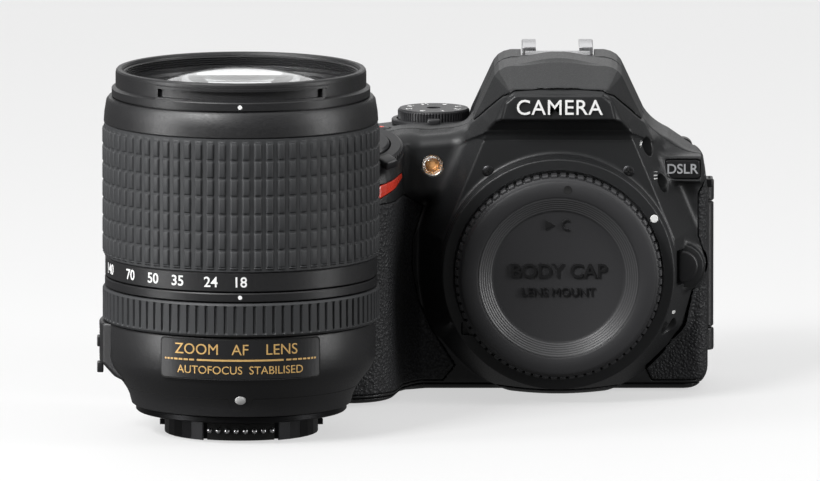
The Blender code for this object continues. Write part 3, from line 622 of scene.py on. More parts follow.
def grained(name, dark, light, roughness, grain_mm, strength, depth=0.05, specular=0.5, coat=0.0):
    """Moulded plastic or paint: a fine grain, and a slow drift in shade and gloss."""
    made, tree, shader = shader_of(name, dark, roughness[0], coat=coat, specular=specular)
    grain = noise(tree, 1000.0 / grain_mm, 3.0, 0.55)
    drift = noise(tree, 45.0, 2.0)
    tint(tree, shader, drift, dark, light)
    tree.links.new(ramp(tree, grain, *roughness), shader.inputs["Roughness"])
    bump(tree, shader, grain, strength, depth)
    return made


def leather(name):
    """Rubber moulded with a leather grain: soft pebbles between creases, the creases coloured darker as
    painted shade.
    """
    made, tree, shader = shader_of(name, (0.015, 0.016, 0.017), 0.6, specular=0.45)
    place = place_of(tree)
    wobble = add_node(tree, "ShaderNodeTexNoise", Scale=700.0, Detail=2.0)
    tree.links.new(place, wobble.inputs["Vector"])
    push = add_node(tree, "ShaderNodeVectorMath", operation="SCALE", Scale=0.0008)
    tree.links.new(wobble.outputs["Color"], push.inputs[0])
    moved = add_node(tree, "ShaderNodeVectorMath", operation="ADD")
    tree.links.new(place, moved.inputs[0])
    tree.links.new(push.outputs["Vector"], moved.inputs[1])
    cells = add_node(
        tree, "ShaderNodeTexVoronoi", feature="SMOOTH_F1", Scale=1300.0, Smoothness=0.6
    )
    tree.links.new(moved.outputs["Vector"], cells.inputs["Vector"])
    height = ramp(tree, cells.outputs["Distance"], 1.0, 0.0, 0.1, 0.75)
    # Painted shade: the colour runs from dark in the creases to lighter on the pebble tops.
    tint(tree, shader, height, (0.007, 0.007, 0.008), (0.021, 0.022, 0.024))
    tree.links.new(ramp(tree, height, 0.72, 0.46, 0.2, 0.9), shader.inputs["Roughness"])
    bump(tree, shader, height, 0.9, 0.22)
    return made


def metal(name, colour, roughness, grain_mm=0.4):
    made, tree, shader = shader_of(name, colour, roughness, metallic=1.0)
    grain = noise(tree, 1000.0 / grain_mm)
    tree.links.new(ramp(tree, grain, roughness * 0.8, roughness * 1.25), shader.inputs["Roughness"])
    bump(tree, shader, grain, 0.15, 0.02)
    return made


def lens_glass(name, colour, roughness=0.02, index=1.52):
    made, tree, shader = shader_of(name, colour, roughness, coat=0.3)
    shader.inputs["Transmission Weight"].default_value = 1.0
    shader.inputs["IOR"].default_value = index
    drift = noise(tree, 30.0, 1.0)
    tint(tree, shader, drift, colour, tuple(min(1.0, c * 1.06) for c in colour))
    return made


def printed(name, colour, roughness=0.5, metallic=0.0):
    """Printed or inlaid marks, a little uneven."""
    made, tree, shader = shader_of(name, colour, roughness, metallic=metallic)
    drift = noise(tree, 900.0, 2.0)
    tint(tree, shader, drift, tuple(c * 0.86 for c in colour), colour)
    return made


def painted_groove_shading(name, centre_z):
    """Cap plastic with fine circular grooves about the optical axis, its colour banded dark and light
    with each groove as painted shade and highlight, and lighter overall than the cap face as a painted
    sheen.
    """
    made, tree, shader = shader_of(name, (0.03, 0.03, 0.032), 0.42, specular=0.6)
    split = add_node(tree, "ShaderNodeSeparateXYZ")
    tree.links.new(place_of(tree), split.inputs[0])
    flat = add_node(tree, "ShaderNodeCombineXYZ")
    tree.links.new(split.outputs["X"], flat.inputs["X"])
    lowered = add_node(tree, "ShaderNodeMath", operation="SUBTRACT")
    lowered.inputs[1].default_value = centre_z * MM
    tree.links.new(split.outputs["Z"], lowered.inputs[0])
    tree.links.new(lowered.outputs[0], flat.inputs["Y"])
    away = add_node(tree, "ShaderNodeVectorMath", operation="LENGTH")
    tree.links.new(flat.outputs[0], away.inputs[0])
    wave = add_node(tree, "ShaderNodeMath", operation="SINE")
    fine = add_node(tree, "ShaderNodeMath", operation="MULTIPLY")
    fine.inputs[1].default_value = 2 * math.pi / (0.62 * MM)
    tree.links.new(away.outputs["Value"], fine.inputs[0])
    tree.links.new(fine.outputs[0], wave.inputs[0])
    shade = ramp(tree, wave.outputs[0], 0.0, 1.0, -1.0, 1.0)
    # Painted shade and highlight: the colour swings dark to light with each groove, and the whole band
    # is lighter than the cap.
    tint(tree, shader, shade, (0.034, 0.034, 0.036), (0.07, 0.07, 0.072))
    bump(tree, shader, shade, 0.5, 0.12)
    return made


MATERIALS = {}


def make_materials():
    m = MATERIALS
    m["body"] = grained(
        "body_plastic_look",
        (0.009, 0.0095, 0.01),
        (0.013, 0.0135, 0.0145),
        (0.38, 0.56),
        0.34,
        0.35,
        0.07,
    )
    m["smooth"] = grained(
        "smooth_plastic_look",
        (0.009, 0.009, 0.0095),
        (0.013, 0.013, 0.014),
        (0.28, 0.4),
        0.25,
        0.12,
        0.03,
    )
    m["control"] = grained(
        "control_look", (0.011, 0.011, 0.012), (0.016, 0.016, 0.0175), (0.34, 0.48), 0.2, 0.2, 0.03
    )
    m["lens"] = grained(
        "lens_look", (0.009, 0.009, 0.0095), (0.013, 0.013, 0.014), (0.36, 0.5), 0.5, 0.35, 0.07
    )
    m["lens_dark"] = grained(
        "lens_dark_look", (0.006, 0.006, 0.0065), (0.01, 0.01, 0.011), (0.36, 0.5), 0.4, 0.2, 0.04
    )
    m["lens_rubber"] = grained(
        "lens_rubber_look",
        (0.026, 0.027, 0.0285),
        (0.033, 0.034, 0.036),
        (0.5, 0.64),
        0.25,
        0.3,
        0.04,
        0.4,
    )
    m["rubber"] = leather("leather_look")
    m["soft_rubber"] = grained(
        "soft_rubber_look",
        (0.009, 0.009, 0.01),
        (0.014, 0.014, 0.015),
        (0.6, 0.74),
        0.3,
        0.3,
        0.05,
        0.4,
    )
    m["cap"] = grained(
        "cap_look", (0.021, 0.021, 0.0225), (0.027, 0.027, 0.029), (0.46, 0.6), 0.28, 0.4, 0.06
    )
    m["cap_mark"] = grained(
        "cap_mark_look", (0.006, 0.006, 0.0065), (0.009, 0.009, 0.0095), (0.3, 0.4), 0.3, 0.1, 0.03
    )
    m["cap_grooves"] = painted_groove_shading("cap_grooves_painted_shade_look", AXIS_Z)
    m["inner"] = grained(
        "inner_black_look", (0.004, 0.004, 0.004), (0.008, 0.008, 0.008), (0.8, 0.92), 0.5, 0.2
    )
    m["red"] = grained(
        "red_inlay_look",
        (0.62, 0.035, 0.018),
        (0.74, 0.06, 0.03),
        (0.24, 0.34),
        0.5,
        0.05,
        coat=0.4,
    )
    m["steel"] = metal("steel_look", (0.72, 0.72, 0.73), 0.24)
    m["chrome"] = metal("chrome_look", (0.93, 0.93, 0.92), 0.3)
    m["shoe"] = metal("shoe_look", (0.62, 0.62, 0.63), 0.32)
    m["dark_metal"] = metal("dark_metal_look", (0.05, 0.05, 0.052), 0.4)
    m["black_metal"] = metal("black_metal_look", (0.022, 0.022, 0.023), 0.36)
    m["gold_contact"] = metal("contact_look", (0.85, 0.72, 0.45), 0.25)
    m["glass"] = lens_glass("glass_look", (0.95, 0.97, 0.98))
    m["lamp_glass"] = lens_glass("lamp_glass_look", (1.0, 0.99, 0.97), 0.02, 1.2)
    m["front_glass"] = lens_glass("front_glass_look", (0.93, 0.96, 0.97), 0.015, 1.9)
    m["amber"] = printed("amber_look", (0.9, 0.42, 0.12), 0.3)
    m["screen"] = grained(
        "screen_look",
        (0.004, 0.004, 0.005),
        (0.007, 0.007, 0.008),
        (0.05, 0.08),
        1.0,
        0.02,
        coat=1.0,
    )
    m["sensor"] = grained(
        "sensor_look", (0.02, 0.04, 0.05), (0.05, 0.03, 0.06), (0.08, 0.14), 1.0, 0.02, coat=1.0
    )
    m["mirror"] = metal("mirror_look", (0.9, 0.9, 0.92), 0.05)
    m["circuit"] = grained(
        "circuit_look", (0.01, 0.07, 0.03), (0.02, 0.12, 0.06), (0.3, 0.45), 0.6, 0.2
    )
    m["battery"] = grained(
        "battery_look", (0.08, 0.08, 0.085), (0.11, 0.11, 0.115), (0.45, 0.6), 0.4, 0.2
    )
    m["white"] = printed("white_print_look", (0.86, 0.86, 0.85), 0.45)
    m["silver"] = printed("silver_print_look", (0.75, 0.76, 0.78), 0.3, 0.6)
    m["gold"] = printed("gold_print_look", (0.72, 0.46, 0.17), 0.4, 0.35)
    m["grey"] = printed("grey_print_look", (0.2, 0.2, 0.2), 0.5)


def show(name, mesh, look, body, replaces=()):
    """Puts a mesh in the scene as a piece that rides on a body."""
    piece = bpy.data.objects.new(name, mesh)
    bpy.context.scene.collection.objects.link(piece)
    mesh.materials.clear()
    mesh.materials.append(MATERIALS[look])
    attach(piece, body)
    if replaces:
        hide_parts(*replaces)
    return piece


def paint_nodes(look, *names):
    """Gives CAD nodes that stay in view a procedural material."""
    for name in names:
        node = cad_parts[name]
        node.data.materials.clear()
        node.data.materials.append(MATERIALS[look])


# ---------------------------------------------------------------- the covers


def tube(p, at, direction, radius, low, high, r=0.0):
    """A disc about any direction through a point."""
    offset = [v - a for v, a in zip(p, at)]
    along = sum(o * d for o, d in zip(offset, direction))
    away = np.sqrt(np.maximum(sum(o * o for o in offset) - along * along, 0))
    return pushed(away - radius, between(along, low, high), r)


def disc_y(p, x, z, radius, low, high, r=0.0):
    return pushed(np.hypot(p[0] - x, p[2] - z) - radius, between(p[1], low, high), r)


def disc_z(p, x, y, radius, low, high, r=0.0):
    return pushed(np.hypot(p[0] - x, p[1] - y) - radius, between(p[2], low, high), r)


def without(form, *holes):
    for hole in holes:
        form = np.maximum(form, -hole)
    return form


RELEASE = (35.5, 37.4)
DIAL = (-35.5, 1.5)
MODE_R = 10.3
COMMAND = (-62.0, 2.5)
COMMAND_R = 9.5
LAMP = (-35.9, 65.8)
SHOE_HALF = 10.5
FLASH_HINGE = (-9.6, 94.0)
INLAY = [
    (-90.0, 57.9),
    (-60.0, 57.6),
    (-52.0, 58.9),
    (-46.5, 61.4),
    (-42.3, 64.6),
    (-46.5, 64.1),
    (-52.0, 62.8),
    (-60.0, 62.1),
    (-90.0, 62.2),
]
FLANK = np.array((0.925, 0.0, 0.38))
LOWER_FLANK = np.array((0.883, 0.0, -0.469))
SIDE_BUTTONS = {
    "flash_button": (np.array((22.6, -31.0, 70.6)), FLANK),
    "function_button": (np.array((26.9, -31.0, 60.1)), FLANK),
    "timer_button": (np.array((0.0, -33.0, AXIS_Z)) + 34.8 * LOWER_FLANK, LOWER_FLANK),
}
DECK_BUTTONS = {
    "movie_button": (-50.5, -13.5, 2.4, 75.2),
    "exposure_button": (-58.5, -13.5, 2.6, 74.3),
}
REAR_BUTTONS = {
    "playback_button": (-50.0, 55.0, 2.9),
    "zoom_in_button": (-51.0, 20.0, 2.7),
    "zoom_out_button": (-60.0, 20.0, 2.7),
    "multi_selector": (-57.0, 37.5, 8.4),
    "menu_button": (36.0, 66.5, 2.9),
}


def release_outline(grow):
    flat = RELEASE[0] - 1.4 - grow
    bow = arc(RELEASE, 4.7 + grow, -90, 90, 14)
    return bow + [(flat, RELEASE[1] + 4.7 + grow), (flat, RELEASE[1] - 4.7 - grow)]


def rubber_rebates(p, body):
    """The shallow seats of the grip's rubber and the side's."""
    where = np.minimum(grip_rubber_part(p), side_rubber_part(p)) - 0.15
    return np.maximum(where, -(body + 0.9))


def doors_rebates(p):
    """The seats of the card door and of the terminal cover, with the slots behind them."""
    card = block(p, (-82.0, -19.0, 19.6), (-77.4, 5.4, 56.4), 0.4)
    slot = block(p, (-80.0, -9.5, 25.0), (-68.0, -7.0, 50.0), 0.3)
    terminal = block(p, (41.3, -19.4, 15.6), (50.0, 3.4, 56.4), 0.4)
    ports = [
        block(p, (36.0, -13.0, z - 2.0), (45.0, -6.0, z + 2.0), 1.0) for z in (23.0, 36.0, 48.0)
    ]
    form = np.minimum(card, slot)
    for hole in [terminal, *ports]:
        form = np.minimum(form, hole)
    return form


def front_cover_form(p):
    x, y, z = p
    body = body_form(p)
    away = radius_about_axis(p)
    region = np.maximum(np.maximum(y + 4.0, 2.3 - z), np.minimum(z - 62.0, y + 20.0))
    form = blend_cross(body, region, 0.35)
    form = blend_cut(form, flash_part(p, -0.15), 0.3)
    form = without(form, rubber_rebates(p, body))
    inlay = np.maximum(np.maximum(polygon(x, z, INLAY) - 0.12, y + 32.0), -(body + 1.2))
    seat = pushed(away - 29.9, between(y, -60.0, FLANGE_Y + 3.3))
    throat = np.minimum(
        pushed(away - 24.6, between(y, -60.0, 0.0)),
        pushed(away - 29.3, between(y, FLANGE_Y + 4.3, 0.0)),
    )
    rooms = np.minimum(
        block(p, (-20.4, -42.2, 16.6), (20.4, 0.0, 56.4)),
        block(p, (-22.4, -7.2, 7.0), (22.4, 0.0, 56.6)),
    )
    battery = block(p, (-76.4, -46.0, 0.0), (-59.0, 0.0, 57.6))
    pocket = block(p, (-15.0, -39.5, 79.6), (15.0, 0.0, 99.0), 1.0)
    prism_room = block(p, (-16.0, -34.0, 50.0), (16.0, 0.0, 79.0))
    lamp = disc_y(p, *LAMP, 3.15, -40.0, -20.6)
    latch = block(p, (-27.6, -50.0, 19.6), (-24.0, -44.0, 23.2), 0.3)
    pin = disc_y(p, 25.8, AXIS_Z, 1.7, -60.0, 0.0)
    release = pushed(polygon(x, z, release_outline(0.3)), between(y, -40.0, -24.5))
    shutter = tube(p, SHUTTER, TOP_NORMAL, 8.15, -3.6, 6.0)
    form = without(form, inlay, seat, throat, rooms, battery, pocket, prism_room, lamp, latch, pin)
    form = without(form, release, shutter, doors_rebates(p))
    form = without(form, tube(p, SHUTTER, TOP_NORMAL, 12.25, -0.15, 6.0))
    for at, out in SIDE_BUTTONS.values():
        form = blend_cut(form, tube(p, at, out, 2.75, -2.6, 8.0), 0.3)
    return form


def top_cover_form(p):
    _, y, z = p
    body = body_form(p)
    region = np.maximum(62.28 - z, -19.72 - y)
    form = blend_cross(body, region, 0.35)
    form = blend_cut(form, flash_part(p, -0.15), 0.3)
    pocket = block(p, (-15.0, -40.0, 79.6), (15.0, -21.0, 99.0), 1.0)
    prism_room = block(p, (-15.5, -30.0, 50.0), (15.5, 0.0, 86.0))
    shoe = block(p, (-SHOE_HALF, -3.4, 92.2), (SHOE_HALF, 30.0, 120.0), 0.3)
    window = np.minimum(
        block(p, (-9.0, 4.0, 78.0), (9.0, 20.0, 87.0), 1.5),
        block(p, (-6.0, -4.0, 79.5), (6.0, 20.0, 85.5), 1.0),
    )
    dial = disc_z(p, *DIAL, 12.6, 74.2, 84.0, 0.2)
    flat = disc_z(p, *DIAL, 13.6, 74.7, 90.0, 0.3)
    slot = block(p, (COMMAND[0] - 10.2, -8.0, 63.6), (COMMAND[0] + 10.2, 20.0, 69.9), 0.6)
    trough = block(p, (-90.0, -8.0, 55.0), (-71.6, 20.0, 64.3), 0.4)
    hinge_groove = np.hypot(y - FLASH_HINGE[0], z - FLASH_HINGE[1]) - 2.7
    form = without(form, pocket, prism_room, shoe, window, flat, dial, slot, trough, hinge_groove)
    for bx, by, radius, _ in DECK_BUTTONS.values():
        form = blend_cut(form, disc_z(p, bx, by, radius + 0.3, 60.0, 84.0), 0.4)
    return blend_cut(form, disc_y(p, 36.0, 66.5, 3.2, 4.0, 20.0), 0.4)


def rear_cover_form(p):
    _, y, z = p
    body = blend_in(body_form(p), thumb_rest(p), 2.4)
    region = np.maximum(np.maximum(-3.72 - y, 2.3 - z), z - 61.95)
    form = blend_cross(body, region, 0.35)
    recess = block(p, (-44.0, 6.7, 7.5), (39.9, 30.0, 61.5), 0.8)
    groove = disc_z(p, 42.6, 9.5, 2.9, 14.0, 50.9)
    notch = block(p, (37.0, 6.7, 14.0), (42.6, 30.0, 50.9))
    form = without(form, recess, groove, notch, doors_rebates(p))
    form = without(form, block(p, (-22.4, -10.0, 7.0), (22.4, -2.6, 56.6)))
    knuckles = np.minimum(
        disc_z(p, 42.6, 9.5, 2.5, 7.5, 14.0, 0.5), disc_z(p, 42.6, 9.5, 2.5, 50.9, 57.0, 0.5)
    )
    form = np.minimum(form, knuckles)
    for bx, bz, radius in REAR_BUTTONS.values():
        form = blend_cut(form, disc_y(p, bx, bz, radius + 0.3, 5.6, 20.0), 0.4)
    return form


def bottom_cover_form(p):
    form = blend_cross(body_form(p), p[2] - 2.0, 0.3)
    door = block(p, (-77.3, -46.5, -1.0), (-58.7, -5.5, 3.0), 0.3)
    socket = disc_z(p, 0.0, -12.0, 5.3, -2.0, 4.0)
    screws = [
        disc_z(p, x, y, 1.9, -2.0, 0.7) for x, y in (
            (-50.0, 3.0),
            (20.0, 4.0),
            (34.0, -17.0),
            (-20.0, -24.0),
        )
    ]
    form = without(form, door, socket, *screws)
    foot_area = pushed(
        polygon(
            p[0],
            p[1],
            [
                (-10.0, -38.0), (10.0, -38.0), (30.0, -18.0), (30.0, 6.0), (-30.0, 6.0),
                (-30.0, -18.0),
            ],
        ),
        between(p[2], -1.0, 0.35),
        0.2,
    )
    return without(form, foot_area)


def flash_head_form(p):
    x, y, z = p
    dome = np.hypot(x, z - 75.0) - 21.3 + 0.36 * np.maximum(-24.0 - y, 0)
    crown = np.maximum(dome, between(y, -42.0, -9.2))
    form = blend_in(body_form(p), crown, 2.5)
    form = blend_cross(form, flash_part(p, 0.0), 0.35)
    return without(form, block(p, (-13.4, -35.4, 70.0), (13.4, -12.0, 89.6), 0.8))


def grip_rubber_form(p):
    body = body_form(p)
    skin = np.maximum(body - 0.3, -(body + 0.75))
    form = blend_cross(skin, grip_rubber_part(p), 0.5)
    return without(form, block(p, (-90.0, -20.6, 0.0), (-60.0, 0.0, 60.0)))


def side_rubber_form(p):
    body = body_form(p)
    skin = np.maximum(body - 0.3, -(body + 0.75))
    form = blend_cross(skin, side_rubber_part(p), 0.5)
    return np.maximum(form, p[1] + 19.8)


def inlay_form(p):
    x, y, z = p
    body = body_form(p)
    skin = np.maximum(body - 0.15, -(body + 1.0))
    return blend_cross(skin, np.maximum(polygon(x, z, INLAY), y + 32.2), 0.3)


def thumb_rubber_form(p):
    x, y, z = p
    body = blend_in(body_form(p), thumb_rest(p), 2.4)
    outline = polygon(
        x, z, [(-77.2, 30.4), (-68.8, 30.8), (-66.6, 36.0), (-66.6, 59.4), (-77.2, 59.4)]
    )
    skin = np.maximum(body - 0.45, -(body - 0.02))
    return np.maximum(blend_cross(skin, outline, 0.4), 6.0 - y)


def make_covers():
    shells = {
        "front_shell": (front_cover_form, (-80, -54, 2), (44.5, -3.5, 91), "front_cover"),
        "top_shell": (top_cover_form, (-80, -20, 62), (44.5, 12.5, 96), "top_cover"),
        "rear_shell": (rear_cover_form, (-80, -4, 2), (45.5, 12.5, 62.5), "rear_cover"),
        "base_shell": (bottom_cover_form, (-80, -54, -0.2), (44.5, 9.5, 2.3), "bottom_cover"),
        "flash_shell": (flash_head_form, (-28, -45, 74), (28, -8, 97), "flash_head"),
    }
    for name, (form, low, high, node) in shells.items():
        body = "flash" if node == "flash_head" else "camera"
        show(name, sculpt(name, form, low, high), "body", body, [node])
    skins = {
        "grip_skin": (grip_rubber_form, (-80, -54, 2.5), (-28, -19, 58.5), "grip_rubber"),
        "side_skin": (side_rubber_form, (24, -24, 2.5), (44.5, -19, 62), "side_rubber"),
    }
    for name, (form, low, high, node) in skins.items():
        show(name, sculpt(name, form, low, high), "rubber", "camera", [node])
    blade = sculpt("grip_blade", inlay_form, (-80, -54, 57), (-41, -31, 66), FINE)
    show("grip_blade", blade, "red", "camera", ["grip_inlay"])
    thumb = sculpt("thumb_skin", thumb_rubber_form, (-79, 6, 29), (-65, 13, 61), FINE)
    show("thumb_skin", thumb, "rubber", "camera", ["thumb_rubber"])


# ---------------------------------------------------------------- cap and mount


def turn_angles(count):
    return [2 * math.pi * i / count for i in range(count)]


def smooth_step(low, high, value):
    t = min(max((value - low) / (high - low), 0.0), 1.0)
    return t * t * (3 - 2 * t)


def rib(angle, count, share, soft):
    """1 on a rib, 0 in a groove, with soft flanks; the ribs repeat round a circle."""
    phase = abs((angle * count / (2 * math.pi)) % 1.0 - 0.5) * 2
    return smooth_step(1 - share - soft, 1 - share + soft, 1 - phase)


def make_cap():
    seat = (0, FLANGE_Y, AXIS_Z)
    out = (0, -1, 0)
    face = [
        (0, 4.0),
        (18.3, 4.0),
        (18.9, 4.15),
        (23.0, 6.25),
        (23.5, 6.5),
        (27.0, 6.5),
        (27.7, 6.2),
        (28.1, 5.5),
        (28.5, 5.2),
        (28.5, 0.5),
        (21.7, 0.5),
        (21.7, -4.2),
        (19.7, -4.2),
        (19.7, 2.0),
        (0, 2.0),
    ]
    show(
        "cap_face",
        turned("cap_face", face, seat, out, 192),
        "cap",
        "body_cap",
        ["body_cap"],
    )
    # A thin skin over the cap's sloping wall, carrying the painted groove shade and highlight.
    wall = [(19.1, 4.22), (22.85, 6.22), (22.8, 6.3), (19.0, 4.32)]
    show(
        "cap_grooved_wall",
        turned("cap_grooved_wall", wall, seat, out, 192),
        "cap_grooves",
        "body_cap",
    )

    def rim(angle, height):
        lip = 0.35 * (
            1 - smooth_step(0.0, 0.35, height - 0.5)
        ) + 0.5 * smooth_step(4.5, 5.0, height)
        return 29.5 - 0.75 * (1 - rib(angle, 72, 0.72, 0.10)) - lip

    heights = [0.5, 0.65, 0.85, 1.2, 3.0, 4.4, 4.6, 4.8, 5.0]
    show(
        "cap_rim",
        relief("cap_rim", rim, turn_angles(72 * 10), heights, 28.0, seat, out),
        "cap",
        "body_cap",
    )
    words = [("BODY CAP", 5.6, 38.6, 0.08), ("LENS MOUNT", 3.4, 32.6, 0.0)]
    for i, (text, size, z, weight) in enumerate(words):
        mesh = on_front(lettering(f"cap_word_{i}", text, size, 1.0, weight), 0, FLANGE_Y - 4.1, z)
        show(f"cap_word_{i}", mesh, "cap_mark", "body_cap")
    front, back = FLANGE_Y - 4.55, FLANGE_Y - 3.8
    pointer = [(-3.8, 53.5), (-3.8, 50.5), (-1.2, 52.0)]
    pointer_mesh = prism("cap_pointer", pointer, front, back, "Y", 0.1)
    show("cap_pointer", pointer_mesh, "cap_mark", "body_cap")
    bow = arc((2.4, 52.0), 1.6, 60, 300, 14) + arc((2.4, 52.0), 1.1, 300, 60, 14)
    show("cap_hook", prism("cap_hook", bow, front, back, "Y", 0.06), "cap_mark", "body_cap")
    # Painted shade: a black dished disc on the cap's flat ring, where the dimple's hollow would lie in
    # shadow.
    dimple_shade = [(0, 0.05), (1.0, 0.05), (1.15, 0.12), (1.15, -0.4), (0, -0.4)]
    show(
        "cap_dimple_painted_shade",
        turned("cap_dimple_painted_shade", dimple_shade, (2.6, FLANGE_Y - 6.5, 62.4), out, 32),
        "inner",
        "body_cap",
    )


def make_mount():
    paint_nodes("steel", "mount_ring", "lock_pin")
    lip = [(29.85, 0.0), (30.6, 0.0), (30.6, -2.0), (29.85, -2.0)]
    show(
        "mount_lip",
        turned("mount_lip", lip, (0, BOSS_FRONT + 0.35, AXIS_Z), (0, -1, 0), 160),
        "smooth",
        "camera",
    )
    dot = [(0, 0.12), (1.0, 0.12), (1.15, 0.0), (1.15, -0.5), (0, -0.5)]
    show(
        "mount_index",
        turned("mount_index", dot, (27.3, BOSS_FRONT, 53.0), (0, -1, 0), 32),
        "white",
        "camera",
    )
    for side in (-1, 1):
        screw(
            f"bib_screw_{(side + 1) // 2}",
            (20.0 * side, BIB_FRONT, 65.6),
            (0, -1, 0),
            1.67,
            "camera",
        )


def screw(name, at, direction, radius, body, look="dark_metal"):
    """A round head with a small hole, and a cross of dark bars standing on it as painted shade of a
    cross recess.
    """
    head = [(0.62, 0.16), (radius * 0.7, 0.16), (radius, -0.12), (radius, -0.8), (0.62, -0.8)]
    cup = [(0, -0.55), (0.62, -0.35), (0.62, -0.8), (0, -0.8)]
    meshes = [
        turned(name + "_a", head, at, direction, 40), turned(name + "_b", cup, at, direction, 40),
    ]
    show(name, joined(name, meshes), look, body)
    spin = turn_matrix(at, direction)
    # Painted shade: two dark bars laid proud on the head where the cross recess would lie in shadow.
    for i in range(2):
        slot = bar(
            f"{name}_painted_slot_shadow_{i}", (-0.24, -radius * 0.62, 0.02), (0.24, radius * 0.62, 0.19), 0.03
        )
        turn = Matrix.Rotation(math.radians(90 * i), 4, "Z")
        slot.transform(Matrix.Scale(MM, 4) @ spin @ turn @ Matrix.Scale(1 / MM, 4))
        show(f"{name}_painted_slot_shadow_{i}", slot, "inner", body)


# ---------------------------------------------------------------- fittings on the body


def make_names():
    plate = on_front(
        lettering("hump_word", "CAMERA", 6.1, 0.7, 0.02, 1.05), 0.2, NOSE_FRONT - 0.75, 84.7
    )
    show("hump_word", plate, "white", "camera")
    badge = prism("badge_plate", rounded(35.5, 64.7, 4.9, 2.6, 0.8), -26.9, -26.0, "Y", 0.25)
    show("badge_plate", badge, "smooth", "camera")
    word = on_front(lettering("badge_word", "DSLR", 3.9, 0.4, 0.05), 35.5, -27.0, 64.7)
    show("badge_word", word, "silver", "camera")


def make_lamp():
    at = (LAMP[0], 0, LAMP[1])
    glass = [
        (0, 27.6), (1.4, 27.5), (2.4, 27.0), (2.95, 26.2), (2.95, 24.4), (2.5, 24.4), (2.0, 26.0),
        (0, 26.6),
    ]
    window = turned("lamp_window", glass, at, (0, -1, 0), 48)
    piece = show("lamp_window", window, "lamp_glass", "camera", ["focus_lamp"])
    piece.visible_shadow = False
    bowl = [(1.2, 22.6), (2.0, 23.4), (2.6, 25.2), (2.9, 25.4), (2.9, 21.0), (1.2, 21.0)]
    show("lamp_bowl", turned("lamp_bowl", bowl, at, (0, -1, 0), 48), "chrome", "camera")
    bulb = [(0, 24.9), (0.9, 24.6), (1.6, 23.6), (1.7, 22.0), (0, 22.0)]
    show("lamp_bulb", turned("lamp_bulb", bulb, at, (0, -1, 0), 32), "amber", "camera")
    rim = [(3.2, 27.3), (3.9, 27.4), (4.3, 27.1), (4.4, 26.0), (3.2, 26.0)]
    show("lamp_rim", turned("lamp_rim", rim, at, (0, -1, 0), 48), "smooth", "camera")


def make_release():
    key = prism("release_key", release_outline(-0.12), -32.6, -27.4, "Y", 0.8, 4)
    show(
        "release_key",
        key,
        "control",
        "lens_release_button",
        ["lens_release_button"],
    )
    collar = prism("release_collar", release_outline(1.5), -31.7, -29.0, "Y", 0.5)
    show("release_collar", collar, "body", "camera")


def make_side_buttons():
    for name, (at, out) in SIDE_BUTTONS.items():
        profile = [(0, 0.7), (1.6, 0.62), (2.15, 0.3), (2.3, -0.1), (2.3, -1.9), (0, -1.9)]
        show(
            name + "_key",
            turned(name + "_key", profile, at, out, 40),
            "control",
            name,
            [name],
        )


def front_of(x, z):
    """Where the body's front surface lies, going back from the subject."""
    y = np.arange(-56.0, 0.0, 0.1)
    inside = body_form((np.full_like(y, x), y, np.full_like(y, z))) < 0
    return float(y[np.argmax(inside)])


def small_mark(name, outline):
    """A printed mark that lies on the body's front surface."""
    bm = bmesh.new()
    places = [(x, front_of(x, z), z) for x, z in outline]
    faces = [[bm.verts.new((x, y + out, z)) for x, y, z in places] for out in (-0.06, 0.4)]
    bm.faces.new(faces[0])
    bm.faces.new(reversed(faces[1]))
    for i in range(len(outline)):
        j = (i + 1) % len(outline)
        bm.faces.new((faces[0][i], faces[1][i], faces[1][j], faces[0][j]))
    show(name, mesh_of(name, bm), "white", "camera")


def make_marks():
    """Small symbols beside the three buttons round the mount."""
    bolt = [(23.2, 72.6), (23.7, 74.2), (23.6, 73.4), (24.1, 73.6), (23.5, 71.9), (23.7, 72.8)]
    small_mark("flash_mark", bolt)
    for i in range(3):
        z = 63.0 + 0.85 * i
        small_mark(
            f"level_mark_{i}", [(27.3, z), (28.3, z - 0.2), (28.3, z + 0.05), (27.3, z + 0.25)]
        )
    small_mark("timer_mark", arc((33.0, 24.6), 0.55, 0, 330, 11))


def make_hot_shoe():
    half, lip, slot_half = 10.2, 6.2, 9.3
    floor, under, top = 93.4, 95.7, 96.8
    right = [
        (half, 92.5), (half, top - 0.3), (half - 0.3, top), (lip, top), (lip, under),
        (slot_half, under), (slot_half, floor),
    ]
    outline = right + [(-x, z) for x, z in reversed(right)]
    show(
        "shoe_rail",
        prism("shoe_rail", outline, -3.0, 15.0, "Y", 0.12),
        "shoe",
        "camera",
        ["hot_shoe"],
    )
    for i, (x, y) in enumerate(((0.0, 6.0), (-3.6, 1.8), (3.6, 1.8))):
        stud = [(0, 0.25), (0.9, 0.25), (1.1, 0.1), (1.1, -0.3), (0, -0.3)]
        show(
            f"shoe_contact_{i}",
            turned(f"shoe_contact_{i}", stud, (x, y, floor), (0, 0, 1), 32),
            "gold_contact",
            "camera",
        )


def make_eyecup():
    def cup(p):
        x, y, z = p
        outer = pushed(polygon(x, z, rounded(0, 82.5, 16.6, 8.7, 4.6)), between(y, 12.3, 18.0), 1.8)
        hole = polygon(x, z, rounded(0, 82.5, 10.6, 5.6, 2.4)) - 0.35 * np.maximum(y - 14.5, 0)
        return blend_cut(outer, hole, 0.8)

    show(
        "eye_rubber",
        sculpt("eye_rubber", cup, (-17.5, 12, 73), (17.5, 18.4, 92), FINE),
        "soft_rubber",
        "camera",
        ["eyecup"],
    )
    window = prism("eye_glass", rounded(0, 82.5, 8.6, 4.1, 1.0), 8.4, 9.2, "Y", 0.1)
    show("eye_glass", window, "glass", "camera")


